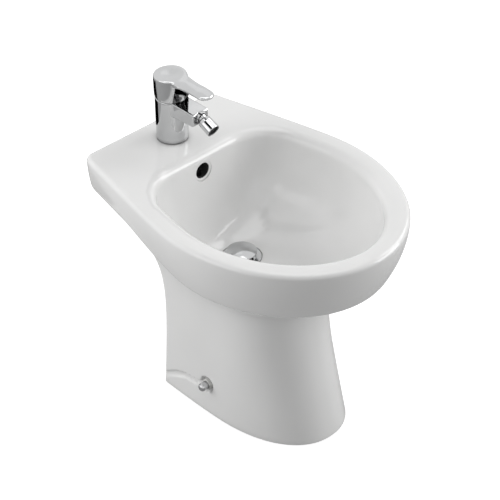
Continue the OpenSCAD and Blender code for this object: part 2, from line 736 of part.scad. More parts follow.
// ---------- dome under the lever: a zone of a sphere centred on the lever's pivot ----------
dome_base_r = tap_top_r - 2;
dome_r = norm([dome_base_r, tap_height - pivot_z]);
dome_wall = 1.5;
dome_floor = 1;
dome_hole_r = 12;
module cover_dome() {
    hole_z = sqrt(dome_r * dome_r - dome_hole_r * dome_hole_r);
    spigot = nut_thread_r - 0.2;
    color("silver") at_tap() difference() {
        union() {
            intersection() {
                translate([0, 0, pivot_z]) sphere(r = dome_r, $fn = round_steps);
                rod(dome_base_r, tap_height, pivot_z + hole_z - tap_height);
            }
            rod(spigot, nut_z + nut_height, tap_height - nut_z - nut_height + cut);
        }
        intersection() {
            translate([0, 0, pivot_z]) sphere(r = dome_r - dome_wall, $fn = round_steps);
            rod(dome_base_r, tap_height + dome_floor, dome_r);
        }
        rod(dome_hole_r, nut_z, dome_r);
    }
}

// ---------- lever ----------
skirt_gap = 0.9;
skirt_z = tap_height + skirt_gap;
cap_top = tap_height + cap_height;
cap_wall = 1.7;
cap_inner_r = cap_r - cap_wall;
cap_edge = 2.2;
cap_flare = 1.2;
cap_roof = 8;
cap_ceiling = cap_top - cap_roof;
window_half = spout_width / 2 + 0.6;
window_draw = 3.4;
window_corner = 2;
lever_tip_half = 10.5;
lever_root_half = 16.5;
lever_fall = 3;
boss_out_r = 9;
lever_boss_drop = 14;
grub_z = cap_ceiling - lever_boss_drop / 2;
bridge_half = 5;
grub_r = 2.5;
grub_length = 8;
grub_socket = 3;
stem_play = 0.05;
plug_hole_r = 3;
plug_depth = 3.5;
module paddle() {
    side = rounded([[0, cap_top], [-lever_reach, cap_top - lever_fall],
        [-lever_reach, cap_top - lever_fall - lever_thick], [-cap_inner_r * 0.6, cap_ceiling],
        [0, cap_ceiling]], [0, 2.5, 2.5, 0, 0]);
    plan = rounded([[lever_root_half + 2, 0], [-lever_root_half - 2, 0], [-lever_root_half, -cap_r * 0.85],
        [-lever_tip_half, -lever_reach], [lever_tip_half, -lever_reach], [lever_root_half, -cap_r * 0.85]],
        [0, 0, 30, 3, 3, 30]);
    intersection() {
        along_x(-2 * lever_root_half, 4 * lever_root_half) polygon(side);
        linear_extrude(2 * cap_top) polygon(plan);
    }
}
module lever_handle() {
    cap = rounded([[0, skirt_z], [cap_r, skirt_z], [cap_r + cap_flare, cap_top], [0, cap_top]],
        [0, 0, cap_edge, 0], 8);
    window = rounded([[-window_half, 0], [window_half, 0], [window_half, skirt_z],
        [window_half - window_draw, cap_ceiling], [-window_half + window_draw, cap_ceiling],
        [-window_half, skirt_z]], [0, 0, 0, window_corner, window_corner, 0]);
    color("silver") at_tap() difference() {
        union() {
            difference() {
                turned(cap);
                rod(cap_inner_r, skirt_z - cut, cap_ceiling - skirt_z + cut);
            }
            paddle();
            rod(boss_out_r, cap_ceiling - lever_boss_drop, lever_boss_drop + 1);
            translate([-bridge_half, stem_half + 1, cap_ceiling - lever_boss_drop + 1])
                cube([2 * bridge_half, cap_inner_r - stem_half, lever_boss_drop]);
        }
        along_y(-2 * cap_r, 2 * cap_r - boss_out_r - 1) polygon(window);
        translate([0, 0, skirt_z]) rotate([lever_lift, 0, 0]) translate([-2 * cap_r, 0, -2 * cap_r])
            cube([4 * cap_r, 2 * cap_r, 2 * cap_r]);
        translate([-stem_half - stem_play, -stem_half - stem_play, 0])
            cube([2 * stem_half + 2 * stem_play, 2 * stem_half + 2 * stem_play, stem_top + 2 * stem_play]);
        translate([0, 0, grub_z]) rotate([-90, 0, 0]) cylinder(r = grub_r, h = 2 * cap_r, $fn = 32);
        translate([0, cap_r - plug_depth, grub_z]) rotate([-90, 0, 0])
            cylinder(r = plug_hole_r, h = cap_r, $fn = 32);
    }
}
module lever_grub_screw() {
    color("dimgray") at_tap() translate([0, stem_half, grub_z]) rotate([-90, 0, 0]) difference() {
        rod(grub_r - 0.05, 0, grub_length);
        translate([0, 0, grub_length - grub_socket]) cylinder(r = grub_r / 2, h = grub_socket + cut,
            $fn = 6);
    }
}
module index_plug() {
    color("silver") at_tap() translate([0, cap_r - plug_depth, grub_z]) rotate([-90, 0, 0])
        rod(plug_hole_r - 0.05, 0, plug_depth - 0.2);
}

// ---------- nozzle, along its own axis with the ball's centre at 0 ----------
ball_fit = 0.1;
ball_neck_r = 3.75;
barrel_z = 10.5;
washer_thick = 1;
collar_back = 4.2;
ball_bore_r = 2.2;
shank_lap = 3;
barrel_floor = 3.5;
module nozzle_seat_ring() {
    color("whitesmoke") at_socket() difference() {
        rod(socket_r - 0.1, -socket_back, socket_back - collar_back - 0.3);
        sphere(r = ball_r + ball_fit, $fn = 64);
        rod(spout_bore_r, -socket_back - cut, socket_back);
    }
}
collar_front = 3;
module nozzle_collar() {
    flange = socket_r + 0.6;
    color("silver") at_socket() difference() {
        union() {
            rod(socket_r - 0.1, -collar_back, collar_back);
            rod(flange, -ball_ahead, collar_front + ball_ahead);
        }
        sphere(r = ball_r + ball_fit, $fn = 64);
    }
}
module nozzle_ball() {
    color("silver") at_nozzle() difference() {
        union() {
            sphere(r = ball_r, $fn = 64);
            rod(ball_neck_r, 0, barrel_z - washer_thick);
            rod(ball_neck_r - 0.4, 0, barrel_z + shank_lap);
        }
        rod(ball_bore_r, -2 * ball_r, 4 * ball_r);
    }
}
module nozzle_washer() {
    color("black") at_nozzle() tube(ball_neck_r + 3, ball_neck_r - 0.3, barrel_z - washer_thick,
        washer_thick);
}
barrel_cavity_r = nozzle_r - 1.6;
barrel_draw = 2;
module nozzle_barrel() {
    outline = rounded([[0, barrel_z], [nozzle_r - barrel_draw, barrel_z], [nozzle_r - 0.5, barrel_z + 4],
        [nozzle_r, nozzle_length], [0, nozzle_length]], [0, 1.2, 4, 0.7, 0], 4);
    color("silver") at_nozzle() difference() {
        turned(outline);
        rod(ball_neck_r - 0.35, barrel_z - cut, barrel_floor + 2 * cut);
        rod(barrel_cavity_r, barrel_z + barrel_floor, nozzle_length);
    }
}
insert_z = barrel_z + barrel_floor;
mouth_depth = 1.6;
insert_rim = 1.2;
insert_pitch = 3.2;
insert_hole_r = 1.1;
module aerator_insert() {
    insert_end = nozzle_length - mouth_depth;
    color("black") at_nozzle() difference() {
        rod(barrel_cavity_r, insert_z, insert_end - insert_z);
        rod(barrel_cavity_r - insert_rim, insert_end - insert_rim, 2 * insert_rim);
        for (k = [1 : 2]) for (a = [0 : 60 / k : 359]) rotate(a) translate([k * insert_pitch, 0, 0])
            rod(insert_hole_r, insert_z - cut, nozzle_length);
    }
}

// ---------- waste ----------
module at_waste() { translate([0, waste_y, 0]) children(); }
tube_wall = 2.4;
tube_in_r = waste_tube_r - tube_wall;
tube_bottom = flange_z - waste_length;
thread_bottom = tube_bottom + outlet_length;
rim_drop = 7;
throat_r = tube_in_r + 3;
hub_r = 8.5;
hub_drop = 38;
hub_z = bowl_floor - hub_drop;
hub_height = 8;
sleeve_out_r = 6.2;
stem_r = 4;
sleeve_top_drop = 17;
sleeve_length = 32;
sleeve_top = bowl_floor - sleeve_top_drop;
sleeve_bottom = sleeve_top - sleeve_length;
slot_z = boss_bottom + 5;
slot_width = 10;
slot_height = 9;
spoke_thick = 3;
module waste_body() {
    neck = throat_r + 1.2;
    rim = rounded([[tube_in_r, flange_z - rim_drop], [neck, flange_z - rim_drop], [neck, flange_z],
        [flange_r, flange_z],
        [flange_r, flange_top + 0.4], [plug_r + 1.5, flange_top - 1.4], [throat_r, flange_top - 1.8],
        [throat_r, flange_z - 3], [tube_in_r, flange_z - 5]], [0, 0, 0, 0.4, 1.2, 0, 0.8, 0, 0], 4);
    color("silver") at_waste() difference() {
        union() {
            turned(rim);
            tube(waste_tube_r, tube_in_r, thread_bottom, flange_z - thread_bottom - rim_drop + cut);
            tube(outlet_r, tube_in_r, tube_bottom, outlet_length + cut);
            rod(hub_r, hub_z, hub_height);
            for (a = [90 : 120 : 330]) rotate(a) translate([0, -spoke_thick / 2, hub_z])
                cube([tube_in_r + 1, spoke_thick, hub_height]);
        }
        rod(sleeve_out_r, hub_z - cut, hub_height + 2 * cut);
        for (a = [0 : 90 : 270]) rotate(a) translate([tube_in_r - cut, -slot_width / 2, slot_z])
            cube([tube_wall + 2 * cut, slot_width, slot_height]);
    }
}
module waste_top_gasket() {
    color("dimgray") at_waste() tube(flange_r - 0.8, waste_bore_r + 0.3, bowl_floor - flange_recess,
        gasket_thick);
}
lower_gasket_thick = 6;
gasket_bevel = 3;
waste_grip = 9;
thread_fit = 0.05;
module waste_lower_gasket() {
    bore = waste_tube_r + thread_fit;
    outline = [[bore, boss_bottom - lower_gasket_thick], [bore + waste_grip,
        boss_bottom - lower_gasket_thick],
        [bore + waste_grip, boss_bottom - gasket_bevel], [bore + waste_grip - gasket_bevel, boss_bottom],
        [bore, boss_bottom]];
    color("dimgray") at_waste() turned(outline);
}
waste_nut_height = 10;
nut_rim = 2;
module waste_nut() {
    z = boss_bottom - lower_gasket_thick - waste_nut_height;
    color("goldenrod") at_waste() difference() {
        union() {
            translate([0, 0, z]) cylinder(r = waste_tube_r + waste_grip, h = waste_nut_height - nut_rim,
                $fn = 8);
            rod(waste_tube_r + waste_grip + 0.5, z + waste_nut_height - nut_rim, nut_rim);
        }
        rod(waste_tube_r + thread_fit, z - cut, waste_nut_height + 2 * cut);
    }
}
plug_z = flange_top - 1 + plug_lift;
plug_rim = 2.2;
plug_hub = 5;
plug_skirt = 4;
seal_ring = 2.6;
plug_crown = 3.6;
plug_dome_r = (pow(plug_r, 2) + pow(plug_crown, 2)) / (2 * plug_crown);
module waste_plug() {
    edge = 0.8;
    color("silver") at_waste() difference() {
        union() {
            intersection() {
                rod(plug_r, plug_z, plug_rim + plug_crown);
                translate([0, 0, plug_z + plug_rim + plug_crown - plug_dome_r])
                    sphere(r = plug_dome_r, $fn = round_steps);
                translate([0, 0, plug_z])
                    cylinder(r1 = plug_r - edge, r2 = plug_r - edge + 3 * plug_rim, h = 3 * plug_rim,
                        $fn = round_steps);
            }
            rod(stem_r + 3, plug_z - plug_hub, plug_hub + 1);
            tube(throat_r - 4, throat_r - 6, plug_z - plug_skirt, plug_skirt + 1);
        }
        rod(stem_r - 1, plug_z - plug_hub - 1, plug_hub + 1);
    }
}
module plug_seal() {
    color("black") at_waste() tube(throat_r - 0.5, throat_r - 3.9, plug_z - plug_skirt + 1, seal_ring);
}
stem_room = 4;
stem_bottom = sleeve_bottom + stem_room + plug_lift;
module plug_stem() {
    color("lightgray") at_waste() {
        rod(stem_r, stem_bottom, plug_z - plug_hub - stem_bottom);
        rod(stem_r - 1.05, stem_bottom, plug_z - 1 - stem_bottom);
    }
}
sleeve_end = 2;
module latch_sleeve() {
    color("whitesmoke") at_waste() difference() {
        union() {
            rod(sleeve_out_r - 0.05, sleeve_bottom, sleeve_length);
            rod(sleeve_out_r + 1.5, hub_z + hub_height, sleeve_end);
        }
        rod(stem_r + 0.08, sleeve_bottom + sleeve_end, sleeve_length);
    }
}

// Coil spring of a round wire, swept with six sides.
spring_r = stem_r - 0.8;
spring_wire = 0.45;
spring_turns = 7;
spring_steps = 12;
module latch_spring() {
    z0 = sleeve_bottom + sleeve_end + spring_wire;
    z1 = stem_bottom - spring_wire;
    last = spring_turns * spring_steps;
    sides = 6;
    points = [for (i = [0 : last]) let (a = 360 * i / spring_steps) for (k = [0 : sides - 1])
        let (b = 360 * k / sides)
        let (r = spring_r + spring_wire * cos(b))
        [r * cos(a), r * sin(a), mix(z0, z1, i / last) + spring_wire * sin(b)]];
    walls = [for (i = [0 : last - 1]) for (k = [0 : sides - 1])
        let (n = (k + 1) % sides)
        each [[i * sides + k, (i + 1) * sides + n, i * sides + n],
            [i * sides + k, (i + 1) * sides + k, (i + 1) * sides + n]]];
    color("lightgray") at_waste()
        polyhedron(points, concat(walls, [[for (k = [0 : sides - 1]) k],
            [for (k = [sides - 1 : -1 : 0]) last * sides + k]]));
}

// ---------- side fixings, drawn on the +X side ----------
wall_in = pedestal_half(screw_z) - wall / cos(wall_lean);
seat_x = foot_half - recess_depth - (screw_z - collar_r) * tan(wall_lean) + 0.05;
bracket_gap = 4;
upright_x = wall_in - bracket_gap;
bracket_width = 44;
bracket_reach = 34;
bracket_over = 16;
bracket_corner = 12;
rib_thick = 3;
hole_x = upright_x - bracket_thick - bracket_reach / 2 - rib_thick;
module floor_bracket() {
    top = screw_z + bracket_over;
    side = rounded([[bracket_width / 2, top], [-bracket_width / 2, top], [-bracket_width / 2, 0],
        [bracket_width / 2, 0]], [bracket_corner, bracket_corner, 0, 0]);
    rib = [[0, 0], [-bracket_reach * 0.8, 0], [0, top * 0.75]];
    difference() {
        union() {
            translate([0, screw_y, 0]) along_x(upright_x - bracket_thick, bracket_thick) polygon(side);
            translate([upright_x - bracket_reach - bracket_thick, screw_y - bracket_width / 2, 0])
                cube([bracket_reach + bracket_thick, bracket_width, bracket_thick]);
            for (y = [-bracket_width / 2, bracket_width / 2 - rib_thick])
                translate([upright_x - bracket_thick, screw_y + y, bracket_thick]) along_y(0, rib_thick)
                    polygon(rib);
        }
        for (y = [-floor_hole_gap / 2, floor_hole_gap / 2]) translate([hole_x, screw_y + y, 0])
            rod(floor_hole_r, -cut, bracket_thick + 2 * cut);
        at_screw() rod(screw_r, upright_x - 3 * bracket_thick, 6 * bracket_thick);
    }
}
// Children are drawn round the screw's axis, with their z as the distance from the middle plane.
module at_screw() { translate([0, screw_y, screw_z]) rotate([0, 90, 0]) children(); }
collar_thick = 5;
head_z = seat_x + collar_thick;
screw_end = 4;
head_height = 3;
module side_screw() {
    at_screw() {
        rod(screw_r - 0.05, upright_x - bracket_thick - screw_end,
            head_z - upright_x + bracket_thick + screw_end + 1);
        rod(screw_r + 2.2, head_z, head_height);
    }
}
module side_bush() {
    at_screw() difference() {
        union() {
            rod(bush_hole_r - 0.4, upright_x, seat_x - upright_x + 1);
            rod(collar_r, seat_x, collar_thick);
        }
        rod(screw_r + 0.1, upright_x - cut, seat_x);
    }
}
module side_cap() {
    reach = side_cap_reach - collar_thick;
    cap = rounded([[0, 0], [side_cap_r, 0], [side_cap_r, reach], [0, reach]],
        [0, 0, side_cap_r * 0.85, 0], 8);
    at_screw() translate([0, 0, head_z]) difference() {
        turned(cap);
        rod(side_cap_r - 1.5, -cut, head_height + 1 + cut);
    }
}
module on_left() { mirror([1, 0, 0]) children(); }
module floor_bracket_left() { color("lightgray") on_left() floor_bracket(); }
module floor_bracket_right() { color("lightgray") floor_bracket(); }
module side_screw_left() { color("gray") on_left() side_screw(); }
module side_screw_right() { color("gray") side_screw(); }
module side_bush_left() { color("whitesmoke") on_left() side_bush(); }
module side_bush_right() { color("whitesmoke") side_bush(); }
module side_cap_left() { color("silver") on_left() side_cap(); }
module side_cap_right() { color("silver") side_cap(); }

ceramic_rim();
ceramic_bowl();
ceramic_apron();
ceramic_pedestal();
mixer_body();
mixer_base_ring();
mounting_stud();
horseshoe_seal();
horseshoe_plate();
stud_nut();
cartridge_base();
cartridge_seals();
fixed_disc();
moving_disc();
cartridge_housing();
cartridge_spindle();
stem_pivot_pin();
lever_stem();
cartridge_nut();
cover_dome();
lever_handle();
lever_grub_screw();
index_plug();
nozzle_seat_ring();
nozzle_collar();
nozzle_ball();
nozzle_washer();
nozzle_barrel();
aerator_insert();
waste_body();
waste_top_gasket();
waste_lower_gasket();
waste_nut();
waste_plug();
plug_seal();
plug_stem();
latch_sleeve();
latch_spring();
floor_bracket_left();
floor_bracket_right();
side_screw_left();
side_screw_right();
side_bush_left();
side_bush_right();
side_cap_left();
side_cap_right();
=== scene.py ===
"""Looks of the floor standing bidet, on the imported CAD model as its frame.

The china, the lever, the nozzle's barrel and the mixer's casting are built again here with
their soft forms, in the place of their nodes. Every node gets a procedural material. The camera,
the lamps and the floor are set for the photograph's view. Shapes are worked out in mm.
"""
import json

import bmesh
import bpy
import numpy as np
from mathutils import Matrix, Vector


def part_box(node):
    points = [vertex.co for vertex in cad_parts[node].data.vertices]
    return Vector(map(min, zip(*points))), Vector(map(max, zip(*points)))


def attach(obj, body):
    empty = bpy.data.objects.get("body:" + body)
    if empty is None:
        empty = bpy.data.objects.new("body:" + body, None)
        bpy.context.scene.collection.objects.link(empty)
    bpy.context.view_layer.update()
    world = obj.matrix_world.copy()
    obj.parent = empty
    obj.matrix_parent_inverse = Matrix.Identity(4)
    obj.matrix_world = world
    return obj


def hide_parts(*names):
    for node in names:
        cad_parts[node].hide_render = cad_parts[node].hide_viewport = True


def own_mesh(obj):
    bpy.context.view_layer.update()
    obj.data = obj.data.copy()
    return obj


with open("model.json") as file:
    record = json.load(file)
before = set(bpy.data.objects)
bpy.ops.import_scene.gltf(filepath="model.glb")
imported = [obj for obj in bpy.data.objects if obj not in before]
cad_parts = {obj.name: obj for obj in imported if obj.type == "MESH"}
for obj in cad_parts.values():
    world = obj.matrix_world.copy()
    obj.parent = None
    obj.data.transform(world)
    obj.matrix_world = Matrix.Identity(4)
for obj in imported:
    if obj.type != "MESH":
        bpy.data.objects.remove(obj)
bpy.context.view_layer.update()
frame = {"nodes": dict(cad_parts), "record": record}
nodes = frame["nodes"]
MM = 0.001

# ---------------------------------------------------------------- sizes, in mm, as in the CAD source
RIM_Z, DECK_BACK, DECK_THICK = 400, 252, 14
CEILING = RIM_Z - DECK_THICK                            # the hollow's top, under the deck
RIM_A, RIM_YC, RIM_B = 188.5, -20, 232                  # outer outline: half width, centre, half length
SIDE_TAPER, TAPER_ROUND, BACK_CORNER = 0.236, 50, 20    # how it narrows towards the wall
BOWL_A, BOWL_YC, BOWL_B, BOWL_POWER = 150.5, -26, 188, 1.95
BOWL_BACK, BOWL_CORNER = 126, 74
BOWL_FLOOR, BOWL_ROUND, BOWL_FALL = 249, 1.98, 0.10     # the bowl's section, from floor to lip
LIP_EDGE, RIM_EDGE, CROWN = 16, 8, 0.4                  # roundings of the rim, and its crown
BOWL_TOP = RIM_Z - LIP_EDGE
APRON_TOP = RIM_Z - RIM_EDGE
WALL = 9
# the apron, at the front and at the rear, and the slope under it
CREASE_Z, CREASE_INSET, CREASE_ROUND = 308, 0.18, 0.035
BAND_Z, BAND_INSET = 356, 0.03
APRON_POWER, APRON_END = 1.7, 1.25
UNDER_DROP, UNDER_ROUND, UNDER_GAIN = (56, 57), (30, 52), (0.014, 0.0093)
REAR_FROM, REAR_OVER = -70, 220                         # where along y the front turns into the rear
# the pedestal, from its foot up to its neck
NECK_Z, NECK_ROUND, NECK_HALF, NECK_FRONT = 200, 0.4, 86.5, 104
FOOT_HALF, FOOT_FRONT, FOOT_POWER, FOOT_TAPER, FOOT_CORNER, FOOT_FLARE = 99.5, 163.5, 2.2, 0.03, 10, 2.5
FOOT_EDGE = ((1.0, 0.5), (0.3, 1.2), (0.0, 2.0))        # height and inset of its rounded lower edge
PED_BACK = 118
# the recess round the side screw: a groove to the rear and a round spot, seen from the side
SCREW_Y, SCREW_Z = 19, 55
BUSH_HOLE_R, BUSH_HOLE_FROM, BUSH_HOLE_TO = 5.5, 70, 104
RECESS, RECESS_EDGE, SPOT_R, SPOT_BLEND, RECESS_MIN_X = 3, 3.0, 13, 6.0, 40
GROOVE = np.array([[0, 2], [23, -4], [39, -6.5], [54, -9], [73, -16], [85, -23], [115, -42],
                   [115, -52], [85, -33], [70, -25], [54, -18], [33, -15], [10, -12]],
                  float) + [SCREW_Y, SCREW_Z]
# the waste, the boss under it, the tap's hole, the overflow and its channel
WASTE_Y, SEAT_R, WASTE_BORE_R = 39, 33.5, 23.45
REBATE_R, REBATE_DEPTH = 32.5, 4
BOSS_BOTTOM, BOSS_R, BOSS_EDGE = 222, 45, 6
TAP_HOLE_R = 17.5
OVERFLOW_R, OVERFLOW_Z, OVERFLOW_LIP, OVERFLOW_DEPTH = 13.5, 368, 1.2, 15.5
DUCT_R, DUCT_COVER, DUCT_FADE = 6.5, 28.3, 34
DUCT_ANGLES, DUCT_END, DUCT_STEP = (62, 42, 24, 8), 21, 15
# the opening for the pipes in the rear, which reaches in to GAP_FRONT
GAP_HALF, GAP_TOP, GAP_CORNER, GAP_FRONT, GAP_INSIDE = 70, 326, 30, 60, 3
GAP_RISES = (-2, 24, 40, 56, 72, 90, 112, 140)
# the tap: its axis, and the nozzle's ball and tilt at rest
TAP_Y = float(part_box("mixer_base_ring")[0][1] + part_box("mixer_base_ring")[1][1]) / 2 / MM
BALL = np.array([0, 127, 465])
TILT = np.radians(24)
NOZZLE_AXIS = np.array((0, -np.cos(TILT), -np.sin(TILT)))

# how finely the china is divided: points along half an outline, and levels or angles of its rings
PLAN_STEPS = (48, 60, 14, 10)
BOWL_ANGLES = np.concatenate([np.linspace(0, 80, 27), np.linspace(82, 90, 5)])
SKIN_LEVELS = np.concatenate([np.linspace(APRON_TOP, 296, 33)[1:], np.linspace(296, 200, 29)[1:],
                              np.linspace(200, 80, 14)[1:], np.linspace(80, 2, 46)[1:]])
CAVITY_LEVELS = np.concatenate([[1.0], np.linspace(20, 200, 8), np.linspace(215, CEILING, 22)])
SHELL_ANGLES = (84, 78, 72, 66, 60, 53, 46, 39, 32, 25, 18)
CHINA_SHARP, CAST_SHARP, BARREL_SHARP = 40, 38, 50      # degrees over which an edge stays sharp
WELD_M = 1e-5


# ---------------------------------------------------------------- helpers
def linked(name, data):
    ob = bpy.data.objects.new(name, data)
    bpy.context.scene.collection.objects.link(ob)
    return ob


def solid(name, verts, faces):
    """A smooth object of points in mm, with its normals outwards."""
    me = bpy.data.meshes.new(name)
    me.from_pydata([tuple(v) for v in np.asarray(verts, float) * MM], [], [tuple(f) for f in faces])
    me.validate()
    me.update()
    me.shade_smooth()
    bm = bmesh.new()
    bm.from_mesh(me)
    bmesh.ops.recalc_face_normals(bm, faces=bm.faces)
    bm.to_mesh(me)
    bm.free()
    return linked(name, me)


def apply_modifiers(ob):
    dg = bpy.context.evaluated_depsgraph_get()
    me = bpy.data.meshes.new_from_object(ob.evaluated_get(dg), preserve_all_data_layers=True,
                                         depsgraph=dg)
    old = ob.data
    ob.modifiers.clear()
    ob.data = me
    bpy.data.meshes.remove(old)


def cutter(verts, faces, place=(0, 0, 0)):
    return solid("cutter", verts + np.array(place), faces)


def boolean(ob, other, kind="DIFFERENCE"):
    """Cuts the other object from ob, or joins or intersects the two; then only ob is left."""
    m = ob.modifiers.new("cut", "BOOLEAN")
    m.operation = kind
    m.solver = "EXACT"
    m.object = other
    apply_modifiers(ob)
    bpy.data.objects.remove(other)


def sharpen(ob, degrees):
    ob.data.shade_smooth()
    ob.data.set_sharp_from_angle(angle=np.radians(degrees))


def skin(rings, endless=False):
    """Points and faces over rings of equal length; each ring is a closed loop of points."""
    rings = [np.asarray(r, float) for r in rings]
    n, m = len(rings[0]), len(rings)
    faces = []
    for k in range(m if endless else m - 1):
        a, b = k * n, ((k + 1) % m) * n
        for i in range(n):
            j = (i + 1) % n
            faces.append((a + i, b + i, b + j, a + j))
    if not endless:
        faces.append(tuple(range(n)))
        faces.append(tuple((m - 1) * n + i for i in reversed(range(n))))
    return np.vstack(rings), faces


def turned(profile, steps):
    """A surface of revolution about Z of (r, z) points; it closes at points of r 0."""
    ang = np.linspace(0, 2 * np.pi, steps, endpoint=False)
    verts, faces, start = [], [], []
    for r, z in profile:
        start.append((len(verts), r == 0))
        if r == 0:
            verts.append((0, 0, z))
        else:
            verts.extend((r * np.cos(a), r * np.sin(a), z) for a in ang)
    for (a, a_is_point), (b, b_is_point) in zip(start, start[1:]):
        for i in range(steps):
            j = (i + 1) % steps
            if a_is_point:
                faces.append((a, b + i, b + j))
            elif b_is_point:
                faces.append((a + i, b, a + j))
            else:
                faces.append((a + i, b + i, b + j, a + j))
    return np.array(verts, float), faces


def cylinder(r, z0, z1, steps=64):
    return turned([(0, z0), (r, z0), (r, z1), (0, z1)], steps)


def trumpet(r, lip, depth, steps=72):
    """A hole's cutter along +Z from 0: it opens into a rounded lip at z 0."""
    prof = [(0, -6), (r + lip + 3, -6), (r + lip + 3, -0.02)]
    for t in np.linspace(0, 90, 9):
        prof.append((r + lip * (1 - np.sin(np.radians(t))), lip * (1 - np.cos(np.radians(t)))))
    prof += [(r, depth), (0, depth)]
    return turned(prof, steps)


def prism(outline, axis, start, end):
    """A closed outline's prism: along Y of (x, z) points, or along X of (y, z) points."""
    a = np.asarray(outline, float)
    n = len(a)
    sides = [np.insert(a, axis, level, axis=1) for level in (start, end)]
    faces = [tuple(range(n)), tuple(range(2 * n - 1, n - 1, -1))]
    faces += [(i, n + i, n + (i + 1) % n, (i + 1) % n) for i in range(n)]
    return cutter(np.vstack(sides), faces)


def tube(path, r):
    """A round tube along a path in the middle plane, mitred at its bends."""
    legs = [(b - a) / np.linalg.norm(b - a) for a, b in zip(path, path[1:])]
    turn = np.radians(np.arange(0, 360, DUCT_STEP))[:, None]
    rings = []
    for i, point in enumerate(path):
        before, after = legs[max(i - 1, 0)], legs[min(i, len(legs) - 1)]
        d = (before + after) / np.linalg.norm(before + after)
        across = np.array([0, -d[2], d[1]]) / (d @ after)
        rings.append(point + r * (np.cos(turn) * np.array([1.0, 0, 0]) + np.sin(turn) * across))
    return cutter(*skin(rings))


def smin(a, b, k):
    """The smaller of a and b, with a soft change between them."""
    h = np.maximum(k - np.abs(a - b), 0) / k
    return np.minimum(a, b) - h * h * k / 4


def smooth(t):
    """A soft step from 0 to 1 as t goes from 0 to 1."""
    u = np.clip(t, 0, 1)
    return u * u * (3 - 2 * u)


def fade(value, start, length):
    """A soft step from 0 at start to 1 at start + length."""
    return smooth((value - start) / length)


def mix(p, q, t):
    return p + (q - p) * t


def with_z(plan, z):
    return np.column_stack([plan, np.full(len(plan), float(z)) if np.isscalar(z) else z])


# ---------------------------------------------------------------- the china body's formulas
def half_plan(a, b, yc, power, taper, soft, back, corner_r):
    """The right half of an outline, from the middle of its front to the middle of its back.

    A quarter of a superellipse of half width a and half length b about yc, then a side that
    draws in by taper, an arc of corner_r, and a straight back.
    """
    front_n, side_n, corner_n, back_n = PLAN_STEPS

    def side_x(y):
        return a - taper * (np.sqrt((y - yc) ** 2 + soft * soft) - soft)

    rise = back - corner_r - yc
    turn = np.arctan(taper * rise / np.sqrt(rise ** 2 + soft * soft))
    y_end = back - corner_r * (1 - np.sin(turn))
    x_mid = side_x(y_end) - corner_r * np.cos(turn)
    t = np.radians(90 * np.arange(front_n) / front_n)
    part = [np.stack([a * np.sin(t) ** (2 / power), yc - b * np.cos(t) ** (2 / power)], 1)]
    y = yc + (y_end - yc) * np.arange(side_n) / side_n
    part.append(np.stack([side_x(y), y], 1))
    t = turn + (np.pi / 2 - turn) * np.arange(corner_n) / corner_n
    part.append(np.stack([x_mid + corner_r * np.cos(t), back - corner_r + corner_r * np.sin(t)], 1))
    i = np.arange(back_n + 1)
    part.append(np.stack([x_mid * (1 - i / back_n), np.full(back_n + 1, float(back))], 1))
    return np.vstack(part)


def rim_plan(inset):
    return half_plan(RIM_A - inset, RIM_B - inset, RIM_YC, 2, SIDE_TAPER, TAPER_ROUND,
                     DECK_BACK - inset, max(BACK_CORNER - inset, 3))


def bowl_plan(outset):
    return half_plan(BOWL_A + outset, BOWL_B + outset, BOWL_YC, BOWL_POWER, SIDE_TAPER, TAPER_ROUND,
                     BOWL_BACK + outset, BOWL_CORNER + outset)


def pedestal_plan(z, inset=0.0):
    t = smin(z / NECK_Z, 1.0, NECK_ROUND)
    return half_plan(FOOT_HALF + (NECK_HALF - FOOT_HALF) * t - inset,
                     FOOT_FRONT + (NECK_FRONT - FOOT_FRONT) * t - inset,
                     0, FOOT_POWER, FOOT_TAPER, TAPER_ROUND,
                     PED_BACK + FOOT_FLARE * (1 - t) - inset, FOOT_CORNER)


RIM_HALF = rim_plan(0)
REAR = fade(RIM_HALF[:, 1], REAR_FROM, REAR_OVER)


def under_terms(z):
    """How far the slope under the apron has gone from pedestal to rim at z, and its steepness."""
    z0 = CREASE_Z - mix(*UNDER_DROP, REAR)
    c = mix(*UNDER_ROUND, REAR)
    g = mix(*UNDER_GAIN, REAR)
    h = np.hypot(z - z0, c)
    return g / 2 * ((z - z0) + h), g / 2 * (1 + (z - z0) / h)


def apron(z):
    """How far the apron stands out at z, as a share of the way from pedestal to rim."""
    low = mix(CREASE_Z, BAND_Z, REAR)
    draw = mix(CREASE_INSET, BAND_INSET, REAR)
    return 1 - draw * np.minimum(max(APRON_TOP - z, 0) / (APRON_TOP - low), APRON_END) ** APRON_POWER


def skin_ring(z):
    """Half an outline of the outside at z."""
    q = pedestal_plan(z)
    return with_z(mix(q, RIM_HALF, smin(apron(z), under_terms(z)[0], CREASE_ROUND)[:, None]), z)


def cavity_ring(z):
    """Half an outline of the hollow at z, one wall inside the skin."""
    q = pedestal_plan(z)
    d = np.linalg.norm(RIM_HALF - q, axis=1)
    under, slope = under_terms(z)
    t = smin(apron(z) - WALL / d, under - WALL * np.hypot(1, d * slope) / d, CREASE_ROUND)
    return with_z(mix(q, RIM_HALF, t[:, None]), z)


def seat_plan(r):
    """A circle round the waste, with its points in the directions of the bowl's outline."""
    centre = np.array([0.0, WASTE_Y])
    v = bowl_plan(0) - centre
    return centre + v * r / np.linalg.norm(v, axis=1)[:, None]


def bowl_reach(a):
    """The share of the way from waste to lip at the angle a of the bowl's section."""
    return np.sin(np.radians(a)) ** (2 / BOWL_ROUND)


def bowl_rise(a):
    c = max(np.cos(np.radians(a)), 0.0)
    return (1 - BOWL_FALL) * (1 - c ** (2 / BOWL_ROUND)) + BOWL_FALL * bowl_reach(a)


